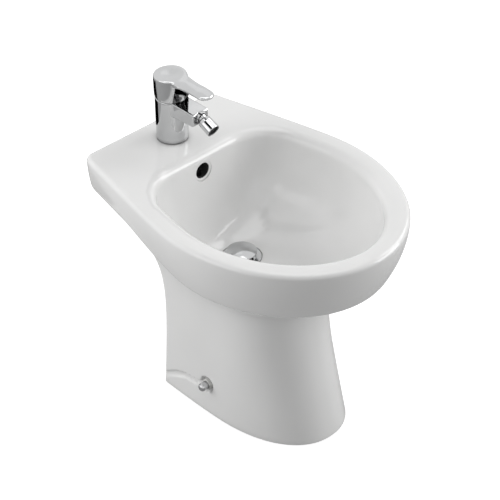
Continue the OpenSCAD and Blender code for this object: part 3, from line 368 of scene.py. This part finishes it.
def bowl_ring(a):
    """Half an outline of the bowl's inside at the angle a."""
    height = BOWL_FLOOR + (BOWL_TOP - BOWL_FLOOR) * bowl_rise(a)
    return with_z(mix(seat_plan(SEAT_R), bowl_plan(0), bowl_reach(a)), height)


def shell_thick(plan):
    """The bowl's wall, which is thicker at the rear, round the overflow's channel."""
    bulge = 1 - smooth((np.abs(plan[:, 0]) - DUCT_R - 4) / DUCT_FADE)
    return WALL + np.where(plan[:, 1] > WASTE_Y, (DUCT_COVER - WALL) * bulge, 0)


def shell_ring(a):
    """Half an outline of the bowl's underside, one wall away from its inside."""
    s, w = seat_plan(SEAT_R), bowl_plan(0)
    v = w - s
    length = np.linalg.norm(v, axis=1)
    da = 0.5
    dx = bowl_reach(a + da) - bowl_reach(a - da)
    dz = (bowl_rise(a + da) - bowl_rise(a - da)) * (BOWL_TOP - BOWL_FLOOR)
    run = np.hypot(dx * length, dz)
    t = shell_thick(w)
    p = s + v * bowl_reach(a) + v / length[:, None] * (t * dz / run)[:, None]
    return with_z(p, BOWL_FLOOR + (BOWL_TOP - BOWL_FLOOR) * bowl_rise(a) - t * dx * length / run)


def recess_mask(y, z):
    """1 in the recess round the side screw, 0 away from it."""
    p = np.stack([y, z], 1)
    dist = np.full(len(p), 1e9)
    inside = np.zeros(len(p), bool)
    for a, b in zip(GROOVE, np.roll(GROOVE, -1, 0)):
        ab = b - a
        t = np.clip(((p - a) @ ab) / (ab @ ab), 0, 1)
        dist = np.minimum(dist, np.linalg.norm(p - a - t[:, None] * ab, axis=1))
        cross = (a[1] > p[:, 1]) != (b[1] > p[:, 1])
        xs = a[0] + (p[:, 1] - a[1]) * ab[0] / (ab[1] if abs(ab[1]) > 1e-9 else 1e-9)
        inside ^= cross & (p[:, 0] < xs)
    distance = np.where(inside, -dist, dist)
    distance = smin(distance, np.hypot(y - SCREW_Y, z - SCREW_Z) - SPOT_R, SPOT_BLEND)
    return smooth(0.5 - distance / RECESS_EDGE)


def build_china():
    """The whole body as one skin: bowl, lip, rim, outside, foot, hollow, under the bowl, boss."""
    rings = [bowl_ring(a) for a in BOWL_ANGLES]
    for t in np.radians(np.linspace(0, 90, 10)[1:]):
        rings.append(with_z(bowl_plan(LIP_EDGE * (1 - np.cos(t))), BOWL_TOP + LIP_EDGE * np.sin(t)))
    inner, outer = bowl_plan(LIP_EDGE), rim_plan(RIM_EDGE)
    for f in (0.2, 0.4, 0.6, 0.8):
        lift = CROWN * np.sin(np.pi * f) * (1 - REAR)
        rings.append(with_z(mix(inner, outer, f), RIM_Z + lift))
    for t in np.radians(np.linspace(0, 90, 9)):
        rings.append(with_z(rim_plan(RIM_EDGE * (1 - np.sin(t))), APRON_TOP + RIM_EDGE * np.cos(t)))
    for z in SKIN_LEVELS:
        r = skin_ring(z)
        side = (r[:, 1] > 0) & (r[:, 0] > RECESS_MIN_X)
        floor_x = FOOT_HALF - RECESS - z * (FOOT_HALF - NECK_HALF) / NECK_Z
        m = recess_mask(r[:, 1], r[:, 2]) * side
        r[:, 0] = np.where(r[:, 0] > floor_x, mix(r[:, 0], floor_x, m), r[:, 0])
        rings.append(r)
    for z, inset in FOOT_EDGE + ((0.0, WALL - 1.0),):
        rings.append(with_z(pedestal_plan(z, inset), z))
    rings += [cavity_ring(z) for z in CAVITY_LEVELS]
    w = bowl_plan(0)
    v = w - np.array([0.0, WASTE_Y])
    outwards = v / np.linalg.norm(v, axis=1)[:, None]
    rings.append(with_z(w + outwards * shell_thick(w)[:, None], CEILING))
    rings += [shell_ring(a) for a in SHELL_ANGLES]
    rings.append(with_z(seat_plan(BOSS_R), BOSS_BOTTOM + BOSS_EDGE))
    rings.append(with_z(seat_plan(BOSS_R - BOSS_EDGE), BOSS_BOTTOM))
    mirrored = [r[-2:0:-1] * np.array([-1, 1, 1]) for r in rings]
    return solid("china_body", *skin([np.vstack(pair) for pair in zip(rings, mirrored)]))


china = build_china()

# ---------------------------------------------------------------- its holes and openings
FROM_Z_TO_Y = np.array([[1, 0, 0], [0, 0, -1], [0, 1, 0]], float)
FROM_Z_TO_X = np.array([[0, 1, 0], [0, 0, 1], [1, 0, 0]], float)
PAST = 1                                                # how far a cutter goes past what it cuts

v, f = cylinder(REBATE_R, BOWL_FLOOR - REBATE_DEPTH, BOWL_FLOOR + PAST / 2)
boolean(china, cutter(v, f, (0, WASTE_Y, 0)))
v, f = cylinder(WASTE_BORE_R, BOSS_BOTTOM - PAST, BOWL_FLOOR - REBATE_DEPTH + PAST)
boolean(china, cutter(v, f, (0, WASTE_Y, 0)))
v, f = cylinder(TAP_HOLE_R, CEILING - PAST, RIM_Z + 2 * PAST)
boolean(china, cutter(v, f, (0, TAP_Y, 0)))
v, f = trumpet(OVERFLOW_R, OVERFLOW_LIP, OVERFLOW_DEPTH)
boolean(china, cutter(v @ FROM_Z_TO_Y, f, (0, BOWL_BACK + 0.2, OVERFLOW_Z)))

# the opening for the pipes: what an arch, seen from behind, and an outline, seen from the side,
# have in common; the outline follows the hollow's rear wall
arch = [(GAP_HALF, -PAST), (GAP_HALF, GAP_TOP - GAP_CORNER)]
for t in np.radians(np.linspace(10, 90, 9)):
    arch.append((GAP_HALF - GAP_CORNER * (1 - np.cos(t)), GAP_TOP - GAP_CORNER * (1 - np.sin(t))))
arch += [(-x, z) for x, z in arch[::-1]]
behind = DECK_BACK + 3 * PAST
from_side = [(behind, -PAST), (GAP_FRONT, -PAST), (GAP_FRONT, NECK_Z - 10)]
for level in [NECK_Z + rise for rise in GAP_RISES]:
    from_side.append((float(cavity_ring(level)[-1, 1]) - GAP_INSIDE, level))
from_side.append((behind, level))
opening = prism(arch, 1, GAP_FRONT - PAST, behind)
boolean(opening, prism(from_side, 0, -GAP_HALF - PAST, GAP_HALF + PAST), "INTERSECT")
boolean(china, opening)

# the overflow's channel runs down inside the thick rear of the bowl into the waste's bore
duct = [np.array([0, BOWL_BACK + WALL + DUCT_R, OVERFLOW_Z])]
for a in DUCT_ANGLES:
    near, along = bowl_ring(a)[-1], bowl_ring(a + 0.5)[-1] - bowl_ring(a - 0.5)[-1]
    duct.append(near + np.array([0, along[2], -along[1]]) / np.hypot(along[1], along[2])
                * (WALL + DUCT_R))
duct.append(np.array([0, WASTE_Y + DUCT_END, duct[-1][2] - 1]))
boolean(china, tube(duct, DUCT_R))

# the holes of the two side screws' bushes
for sign in (1, -1):
    v, f = cylinder(BUSH_HOLE_R, BUSH_HOLE_FROM, BUSH_HOLE_TO, 48)
    boolean(china, cutter(v @ FROM_Z_TO_X * [sign, 1, 1], f, (0, SCREW_Y, SCREW_Z)))

sharpen(china, CHINA_SHARP)
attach(china, "bidet")
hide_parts("ceramic_rim", "ceramic_bowl", "ceramic_apron", "ceramic_pedestal")


# ---------------------------------------------------------------- cast and polished metal
LEVER_VOXEL, CAST_VOXEL = 0.5, 0.55
RELAX_SHARE, LEVER_ROUNDS, LAST_ROUNDS, CAST_ROUNDS = 0.6, 60, 12, 16


def node_copy(node, name, weld=True):
    """An object of our own with a copy of a CAD node's mesh."""
    ob = linked(name, nodes[node].data.copy())
    if weld:
        ob.modifiers.new("weld", "WELD").merge_threshold = WELD_M
        apply_modifiers(ob)
    return ob


def remesh(ob, voxel):
    """Turns ob into one even mesh of small quads; gives its points in mm and its edges."""
    grid = ob.modifiers.new("grid", "REMESH")
    grid.mode = "VOXEL"
    grid.voxel_size = voxel * MM
    apply_modifiers(ob)
    co = np.empty(len(ob.data.vertices) * 3)
    ob.data.vertices.foreach_get("co", co)
    edges = np.empty(len(ob.data.edges) * 2, int)
    ob.data.edges.foreach_get("vertices", edges)
    return co.reshape(-1, 3) / MM, edges.reshape(-1, 2)


def relax(co, edges, weight, rounds):
    """Moves each point towards the mean of its neighbours, by its own weight."""
    a, b = edges[:, 0], edges[:, 1]
    n = len(co)
    count = (np.bincount(a, minlength=n) + np.bincount(b, minlength=n))[:, None]
    for _ in range(rounds):
        total = np.stack([np.bincount(a, co[b, k], n) + np.bincount(b, co[a, k], n)
                          for k in range(3)], 1)
        co = co + RELAX_SHARE * weight[:, None] * (total / np.maximum(count, 1) - co)
    return co


def put_back(ob, co, node, body):
    """Gives ob its moved points, and the node's place in the model."""
    ob.data.vertices.foreach_set("co", (co * MM).ravel())
    ob.data.update()
    sharpen(ob, CAST_SHARP)
    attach(ob, body)
    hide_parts(node)


def arc(cx, cy, r, a0, a1, n=8):
    return [(cx + r * np.cos(t), cy + r * np.sin(t)) for t in np.radians(np.linspace(a0, a1, n))]


def upright(outline, bottom, top):
    """An outline of (x, y) points from the tap's axis, as a solid between two heights."""
    return cutter(*skin([[(x, y + TAP_Y, z) for x, y in outline] for z in (bottom, top)]))


# The lever: its cap is a shallow dish that flows into a crowned paddle, with no hard edge on top.
# The CAD's paddle is cut off at its root, and a rounder one takes its place.
LEVER_TOP = float(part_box("lever_handle")[1][2]) / MM
DISH_R, DISH_DEPTH, DISH_LOSS = 23.0, 1.6, 0.6
CROWN_DROP, CROWN_HALF, TIP_FALL = 1.5, 13.5, 1.6
PADDLE_HALF, PADDLE_REACH, PADDLE_ROOT = 14.4, 89.5, -29.0
PADDLE_TOP, PADDLE_UNDER = 0.3, 8.2                     # below the cap's top
TIP_CORNER_R, TIP_CORNER_Y, TIP_R = 12.5, 13.5, 18
CAP_NARROWING = 0.11                                    # share of its width lost at the paddle
SHOULDER = [(0, 2), (21, 2), (21, -8), (19.6, -17), (17.4, -26), (15.5, -35)]
# where each change starts and its length: upwards from the cap's top, and forward or back from
# the tap's axis
SOFT_UP, SHAPED_UP, NARROW_UP = (-7.5, 3), (-5, 3), (-36, 34)
SOFT_FORWARD, NARROW_FORWARD, NARROW_BACK = (28, 6), (-14, 34), (-34, 16)
DISH_FORWARD, CROWN_FORWARD, TIP_FORWARD = (4, 24), (14, 22), (62, 30)

lever = node_copy("lever_handle", "lever_polished")
block = [(-40, PADDLE_ROOT), (-40, -120), (40, -120), (40, PADDLE_ROOT)]
boolean(lever, upright(block, LEVER_TOP - 45, LEVER_TOP + 5))
right = SHOULDER + [(PADDLE_HALF, -45), (PADDLE_HALF, -70)]
right += arc(PADDLE_HALF - TIP_CORNER_R, -PADDLE_REACH + TIP_CORNER_Y, TIP_CORNER_R, 0, -60)
right += arc(0, -PADDLE_REACH + TIP_R, TIP_R, -58, -90, 4)
outline = right + [(-x, y) for x, y in right[-2:0:-1]]
boolean(lever, upright(outline, LEVER_TOP - PADDLE_UNDER, LEVER_TOP - PADDLE_TOP), "UNION")
co, edges = remesh(lever, LEVER_VOXEL)
y, z = co[:, 1] - TAP_Y, co[:, 2] - LEVER_TOP
at_front = fade(-y, *NARROW_FORWARD) * fade(y, *NARROW_BACK)
co[:, 0] *= 1 - CAP_NARROWING * at_front * fade(z, *NARROW_UP)
soft = np.maximum(fade(z, *SOFT_UP), fade(-y, *SOFT_FORWARD))
co = relax(co, edges, soft, LEVER_ROUNDS)
x, y, z = co[:, 0], co[:, 1] - TAP_Y, co[:, 2] - LEVER_TOP
dish = 1 - fade(np.hypot(x, y), 0, DISH_R)
dish = DISH_DEPTH * dish * (1 - DISH_LOSS * fade(-y, *DISH_FORWARD))
crown = CROWN_DROP * fade(-y, *CROWN_FORWARD) * (x / CROWN_HALF) ** 2
tip = TIP_FALL * fade(-y, *TIP_FORWARD)
co[:, 2] -= fade(z, *SHAPED_UP) * (dish + (crown + tip))
put_back(lever, relax(co, edges, soft, LAST_ROUNDS), "lever_handle", "lever")

# The nozzle's barrel, turned about its axis from the ball out: (r, distance). Its skirt reaches
# back over the neck and clears the ball's collar at any tilt.
BARREL = [(3.45, 10.55), (7.0, 10.55), (7.0, 8.5), (8.0, 7.5), (9.0, 6.3), (9.45, 5.7), (9.9, 5.5),
          (10.35, 5.9), (10.6, 7.0), (10.75, 10.5), (10.85, 10.8), (10.85, 11.4), (10.8, 11.7),
          (11.35, 27.8), (11.3, 28.5), (11.0, 28.9), (10.6, 29.0), (10.1, 28.8), (9.95, 28.3),
          (9.95, 14.05), (3.45, 14.05)]
BARREL_STEPS = 96

ang = np.linspace(0, 2 * np.pi, BARREL_STEPS, endpoint=False)
v, f = skin([[(r * np.cos(a), r * np.sin(a), h) for a in ang] for r, h in BARREL], endless=True)
side = np.array([1.0, 0, 0])
v = BALL + v[:, :1] * side + v[:, 1:2] * np.cross(NOZZLE_AXIS, side) + v[:, 2:] * NOZZLE_AXIS
barrel = solid("nozzle_barrel_polished", v, f)
sharpen(barrel, BARREL_SHARP)
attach(barrel, "nozzle")
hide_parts("nozzle_barrel")

# The mixer's casting: every edge of the spout is rounded, and its root runs into the body.
BODY_TOP = float(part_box("mixer_body")[1][2]) / MM
SPOUT_OUT, SPOUT_UP = (20.5, 2), (-60, 3)               # out from the tap's axis, up from BODY_TOP

casting = node_copy("mixer_body", "mixer_body_polished")
co, edges = remesh(casting, CAST_VOXEL)
y, z = co[:, 1] - TAP_Y, co[:, 2] - BODY_TOP
on_spout = fade(np.hypot(co[:, 0], y), *SPOUT_OUT) * fade(z, *SPOUT_UP)
put_back(casting, relax(co, edges, on_spout, CAST_ROUNDS), "mixer_body", "bidet")

# The latch's spring gets a mesh of its own, on the bidet's body.
SLOT_OF = {s["node"]: s["material_slot"] for s in frame["record"]["subparts"]}

spring = node_copy("latch_spring", "latch_coil", weld=False)
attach(spring, "bidet")
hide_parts("latch_spring")
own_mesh(spring)


# ---------------------------------------------------------------- materials
def cleared(owner):
    """The empty node tree of a material or world."""
    owner.use_nodes = True
    owner.node_tree.nodes.clear()
    return owner.node_tree


def add(nt, kind, operation=None, **values):
    """A shader node; a value's name is its socket's, with _ for a space."""
    n = nt.nodes.new("ShaderNode" + kind)
    if operation:
        n.operation = operation
    for socket, value in values.items():
        n.inputs[socket.replace("_", " ")].default_value = value
    return n


def material(name, metallic=0.0):
    m = bpy.data.materials.new(name)
    nt = cleared(m)
    bsdf = add(nt, "BsdfPrincipled", Metallic=metallic)
    nt.links.new(bsdf.outputs[0], add(nt, "OutputMaterial").inputs[0])
    return m, nt, bsdf


def noise(nt, scale, detail=3.0, rough=0.5):
    n = add(nt, "TexNoise", Scale=scale, Detail=detail, Roughness=rough)
    nt.links.new(add(nt, "TexCoord").outputs["Object"], n.inputs["Vector"])
    return n.outputs["Fac"]


def ramp(nt, source, span, a, b):
    r = add(nt, "ValToRGB")
    for element, position, colour in zip(r.color_ramp.elements, span, (a, b)):
        element.position = position
        element.color = (*colour, 1)
    nt.links.new(source, r.inputs[0])
    return r.outputs[0]


def roughness(nt, bsdf, source, lo, hi):
    m = add(nt, "MapRange", To_Min=lo, To_Max=hi)
    nt.links.new(source, m.inputs["Value"])
    nt.links.new(m.outputs[0], bsdf.inputs["Roughness"])


def bump(nt, bsdf, source, strength, distance):
    b = add(nt, "Bump", Strength=strength, Distance=distance)
    nt.links.new(source, b.inputs["Height"])
    nt.links.new(b.outputs[0], bsdf.inputs["Normal"])


def painted_corner_shade(nt, bsdf, colour, distance, span, low):
    """The colour, darker in narrow corners: painted shade, from the ambient occlusion."""
    near = add(nt, "AmbientOcclusion", Distance=distance)
    near.samples = 8
    corner_shade = ramp(nt, near.outputs["AO"], span, (low, low, low), (1, 1, 1))
    both = add(nt, "Mix")
    both.data_type = "RGBA"
    both.blend_type = "MULTIPLY"
    both.inputs["Factor"].default_value = 1.0
    nt.links.new(colour, both.inputs[6])                # colours A and B, and the result
    nt.links.new(corner_shade, both.inputs[7])
    nt.links.new(both.outputs[2], bsdf.inputs["Base Color"])


TINT_SPAN = (0.3, 0.7)


def glazed_china():
    m, nt, s = material("glazed_china")
    colour = ramp(nt, noise(nt, 9, 2), TINT_SPAN, (0.80, 0.80, 0.795), (0.83, 0.83, 0.825))
    # painted shade in the china's creases: under the apron, in the groove, round the waste's seat and
    # the overflow
    painted_corner_shade(nt, s, colour, 0.018, (0.35, 0.80), 0.62)
    roughness(nt, s, noise(nt, 40, 3), 0.07, 0.13)
    s.inputs["IOR"].default_value = 1.52
    s.inputs["Coat Weight"].default_value = 0.3
    s.inputs["Coat Roughness"].default_value = 0.04
    bump(nt, s, noise(nt, 22, 1.5), 0.25, 0.0006)
    return m


def chrome(name="chrome", shade=1.0, rough=(0.03, 0.09), low=0.10):
    """Polished chrome; shade is its tone, and low how dark the painted shade in its corners is."""
    m, nt, s = material(name, 1.0)
    tones = [tuple(shade * c for c in tone) for tone in ((0.55, 0.555, 0.56), (0.60, 0.605, 0.61))]
    # painted shade in the chrome's corners, such as under the lever and behind the nozzle
    painted_corner_shade(nt, s, ramp(nt, noise(nt, 30, 2), TINT_SPAN, *tones), 0.016, (0.25, 0.75), low)
    roughness(nt, s, noise(nt, 120, 4, 0.6), *rough)
    return m


def simple(name, a, b, rough, metallic=0.0):
    """A finely mottled surface between the colours a and b."""
    m, nt, s = material(name, metallic)
    mottle = noise(nt, 60, 4)
    nt.links.new(ramp(nt, mottle, TINT_SPAN, a, b), s.inputs["Base Color"])
    roughness(nt, s, mottle, rough * 0.85, rough * 1.15)
    bump(nt, s, noise(nt, 360, 2), 0.15, 0.0002)
    return m


def grey(value):
    return (value, value, value)


MATS = {
    "glazed_ceramic": glazed_china(),
    "chrome": chrome(),
    "brass": simple("turned_brass", (0.60, 0.42, 0.16), (0.72, 0.54, 0.24), 0.25, 1.0),
    "steel": simple("plated_steel", (0.50, 0.51, 0.52), (0.60, 0.61, 0.62), 0.32, 1.0),
    "black_rubber": simple("rubber", grey(0.018), grey(0.03), 0.6),
    "disc_ceramic": simple("alumina", (0.80, 0.79, 0.75), (0.86, 0.85, 0.81), 0.3),
    "black_plastic": simple("black_plastic", grey(0.010), grey(0.02), 0.4),
    "white_plastic": simple("white_plastic", (0.70, 0.70, 0.68), (0.78, 0.78, 0.76), 0.45),
    "satin_chrome": chrome("satin_chrome", 1.0, (0.10, 0.15)),
    # a dark copy of the chrome: painted shade in the window under the lever
    "painted_shade_chrome": chrome("painted_shade_chrome", 0.18, (0.06, 0.12)),
    # a copy of the chrome a little darker in tone, with less painted shade in its corners: painted
    # light and shade on the plug
    "plug_chrome_painted_light": chrome("plug_chrome_painted_light", 0.95, (0.05, 0.12), 0.6),
    # a lighter copy of the chrome, with less painted shade in its corners: painted light on the waste's
    # flange
    "waste_chrome_painted_light": chrome("waste_chrome_painted_light", 1.25, (0.06, 0.12), 0.75),
    "grey_gasket": simple("grey_gasket", grey(0.20), grey(0.26), 0.5),
    # near black: painted shadow inside the overflow
    "overflow_painted_shadow": simple("overflow_painted_shadow", grey(0.012), grey(0.02), 0.8),
}


def paint(ob, finish):
    ob.data.materials.clear()
    ob.data.materials.append(MATS[finish])


for name, ob in nodes.items():
    if not ob.material_slots:
        ob.data.materials.append(MATS[SLOT_OF[name]])
    for slot in ob.material_slots:
        slot.material = MATS[SLOT_OF[name]]
paint(china, "glazed_ceramic")
paint(lever, "satin_chrome")
paint(barrel, "chrome")
paint(casting, "chrome")
paint(spring, SLOT_OF["latch_spring"])
# the dome under the lever gets the painted shade of its window
paint(nodes["cover_dome"], "painted_shade_chrome")
# the plug gets its copy of the chrome, with its painted light and shade
paint(nodes["waste_plug"], "plug_chrome_painted_light")
# the waste's flange gets the lighter copy of the chrome: painted light
paint(nodes["waste_body"], "waste_chrome_painted_light")
paint(nodes["mixer_base_ring"], "grey_gasket")


# inside the overflow the china is unglazed, and painted near black: painted shadow of the deep hole and
# its channel
DARK_FROM, DARK_TO = 1.4, 24                            # along y, from the bowl's rear edge
HOLE_SLACK, DUCT_SLACK = 0.2, 0.3


def in_overflow_shadow(p):
    """Whether p lies on the wall of the overflow's hole or of its channel."""
    x, y, z = p
    from_hole = np.hypot(x, z - OVERFLOW_Z)
    if BOWL_BACK + DARK_FROM < y < BOWL_BACK + DARK_TO and from_hole < OVERFLOW_R + HOLE_SLACK:
        return True
    if abs(x) < DUCT_R + HOLE_SLACK and y > WASTE_Y:
        for a, b in zip(duct[:-2], duct[1:-1]):
            share = np.clip((p - a) @ (b - a) / ((b - a) @ (b - a)), 0, 1)
            if np.linalg.norm(p - a - share * (b - a)) < DUCT_R + DUCT_SLACK:
                return True
    return False


# the faces inside the overflow get the painted shadow
china.data.materials.append(MATS["overflow_painted_shadow"])
for face in china.data.polygons:
    if in_overflow_shadow(np.array(face.center) / MM):
        face.material_index = 1

# ---------------------------------------------------------------- camera
AZ, EL = np.radians(-44.3), np.radians(36.43)
TARGET, DIST, LENS, SENSOR = np.array([0.0661, 0.0886, 0.200]), 3.2366, 144, 36
AWAY = np.array([np.sin(AZ) * np.cos(EL), -np.cos(AZ) * np.cos(EL), np.sin(EL)])

cam_data = bpy.data.cameras.new("camera")
cam_data.sensor_width = SENSOR
cam_data.lens = LENS
cam = linked("camera", cam_data)
to_right = np.array([np.cos(AZ), np.sin(AZ), 0])
axes = np.column_stack([to_right, np.cross(AWAY, to_right), AWAY, TARGET + AWAY * DIST])
cam.matrix_world = Matrix([*axes.tolist(), [0, 0, 0, 1]])
bpy.context.scene.camera = cam

# ---------------------------------------------------------------- lamps
MIDDLE = (0, 0, 0.25)                                   # what the lamps are aimed at


def aimed(ob, place, aim):
    ob.location = place
    ob.rotation_euler = (Vector(aim) - Vector(place)).to_track_quat("-Z", "Y").to_euler()
    return ob


def area(name, place, size, watts):
    li = bpy.data.lights.new(name, "AREA")
    li.shape = "RECTANGLE"
    li.size = li.size_y = size
    li.energy = watts
    return aimed(linked(name, li), place, MIDDLE)


def lamp(name, azimuth, elevation, distance, size, watts):
    """A square soft lamp round the object; azimuth 0 is in front of it."""
    a, e = np.radians(azimuth), np.radians(elevation)
    towards = np.array([np.sin(a) * np.cos(e), -np.cos(a) * np.cos(e), np.sin(e)])
    return area(name, np.array(MIDDLE) + distance * towards, size, watts)


lamp("rear_left", -134, 18, 2.6, 1.5, 34).visible_glossy = False
lamp("front_right", 46, 18, 2.6, 1.5, 25)
lamp("right", 78, 38, 2.8, 1.6, 20)
lamp("left", -100, 18, 2.6, 1.5, 6)
area("top", (0, 0, 3.2), 2.4, 21)


# ---------------------------------------------------------------- stage
def plane(name, width, height, mat):
    """A flat piece of the stage round its own origin."""
    me = bpy.data.meshes.new(name)
    w, h = width / 2, height / 2
    me.from_pydata([(-w, -h, 0), (w, -h, 0), (w, h, 0), (-w, h, 0)], [], [(0, 1, 2, 3)])
    me.materials.append(mat)
    return linked(name, me)


def card(name, place, aim, size, strength):
    """A card beside the object that only its reflections see: white over 1, a black flag at 0."""
    m = bpy.data.materials.new(name)
    nt = cleared(m)
    nt.links.new(add(nt, "Emission", Strength=strength).outputs[0],
                 add(nt, "OutputMaterial").inputs[0])
    ob = aimed(plane(name, *size, m), place, aim)
    for kind in ("camera", "diffuse", "transmission", "volume_scatter", "shadow"):
        setattr(ob, "visible_" + kind, False)


# the lever's flat top mirrors the white card, and the curved chrome mirrors the black flags
MIRRORED_VIEW = np.array([0.5619, 0.5758, 0.5939])
TAP = np.array([0, TAP_Y * MM, 0.46])
FORWARD, DOWN = np.array([0, -0.08, 0]), np.array([0, 0, -0.24])
FLAG_AWAY = 0.32
white_place = np.array([0.231, 0.351, 0.734])
card("white_card", white_place, white_place - MIRRORED_VIEW, (0.11, 0.12), 1.15)
out = np.array([-0.56, -0.144, 0.814]) * FLAG_AWAY
card("flag_over", TAP + FORWARD + out, TAP, (0.14, 0.16), 0.0)
for k, a in enumerate((58, 84, 110)):
    out = np.array([np.cos(np.radians(a)), np.sin(np.radians(a)), 0]) * FLAG_AWAY
    card("flag_rear%d" % k, TAP + out + DOWN, TAP + DOWN, (0.16, 0.24), 0.0)


def seen_mix(nt, rays, unseen, seen, output):
    """Shows the shader seen to these kinds of ray, and unseen to all the others."""
    path = add(nt, "LightPath")
    share = path.outputs[rays[0]]
    for ray in rays[1:]:
        larger = add(nt, "Math", "MAXIMUM")
        nt.links.new(share, larger.inputs[0])
        nt.links.new(path.outputs[ray], larger.inputs[1])
        share = larger.outputs[0]
    both = add(nt, "MixShader")
    nt.links.new(share, both.inputs[0])
    nt.links.new(unseen.outputs[0], both.inputs[1])
    nt.links.new(seen.outputs[0], both.inputs[2])
    nt.links.new(both.outputs[0], add(nt, output).inputs[0])


world = bpy.data.worlds.new("studio")
bpy.context.scene.world = world
wt = cleared(world)
seen_mix(wt, ("Is Camera Ray", "Is Glossy Ray", "Is Transmission Ray"),
         add(wt, "Background", Color=(1, 1, 1, 1), Strength=0.35),
         add(wt, "Background", Color=(1, 1, 1, 1), Strength=1.0), "OutputWorld")

# the floor: white to the camera; its glow is turned down near the object, a painted shade, and the
# object's shadow from the lamps is on it
floor_mat = bpy.data.materials.new("floor")
ft = cleared(floor_mat)
away = add(ft, "VectorMath", "LENGTH")
# painted shade: the floor glows less near its middle, under the object, out to about a metre
floor_painted_shade = add(ft, "MapRange", From_Min=0.45, From_Max=1.0, To_Min=0.86, To_Max=1.0)
floor_painted_shade.interpolation_type = "SMOOTHSTEP"
glow = add(ft, "Emission")
pale = add(ft, "BsdfDiffuse", Color=(*grey(0.35), 1))
shown = add(ft, "AddShader")
ft.links.new(add(ft, "TexCoord").outputs["Object"], away.inputs[0])
ft.links.new(away.outputs["Value"], floor_painted_shade.inputs["Value"])
ft.links.new(floor_painted_shade.outputs[0], glow.inputs["Strength"])
ft.links.new(pale.outputs[0], shown.inputs[0])
ft.links.new(glow.outputs[0], shown.inputs[1])
seen_mix(ft, ("Is Camera Ray", "Is Transmission Ray"),
         add(ft, "BsdfDiffuse", Color=(*grey(0.45), 1)), shown, "OutputMaterial")
floor = plane("floor", 12, 12, floor_mat)

bpy.context.scene.view_settings.view_transform = "Standard"
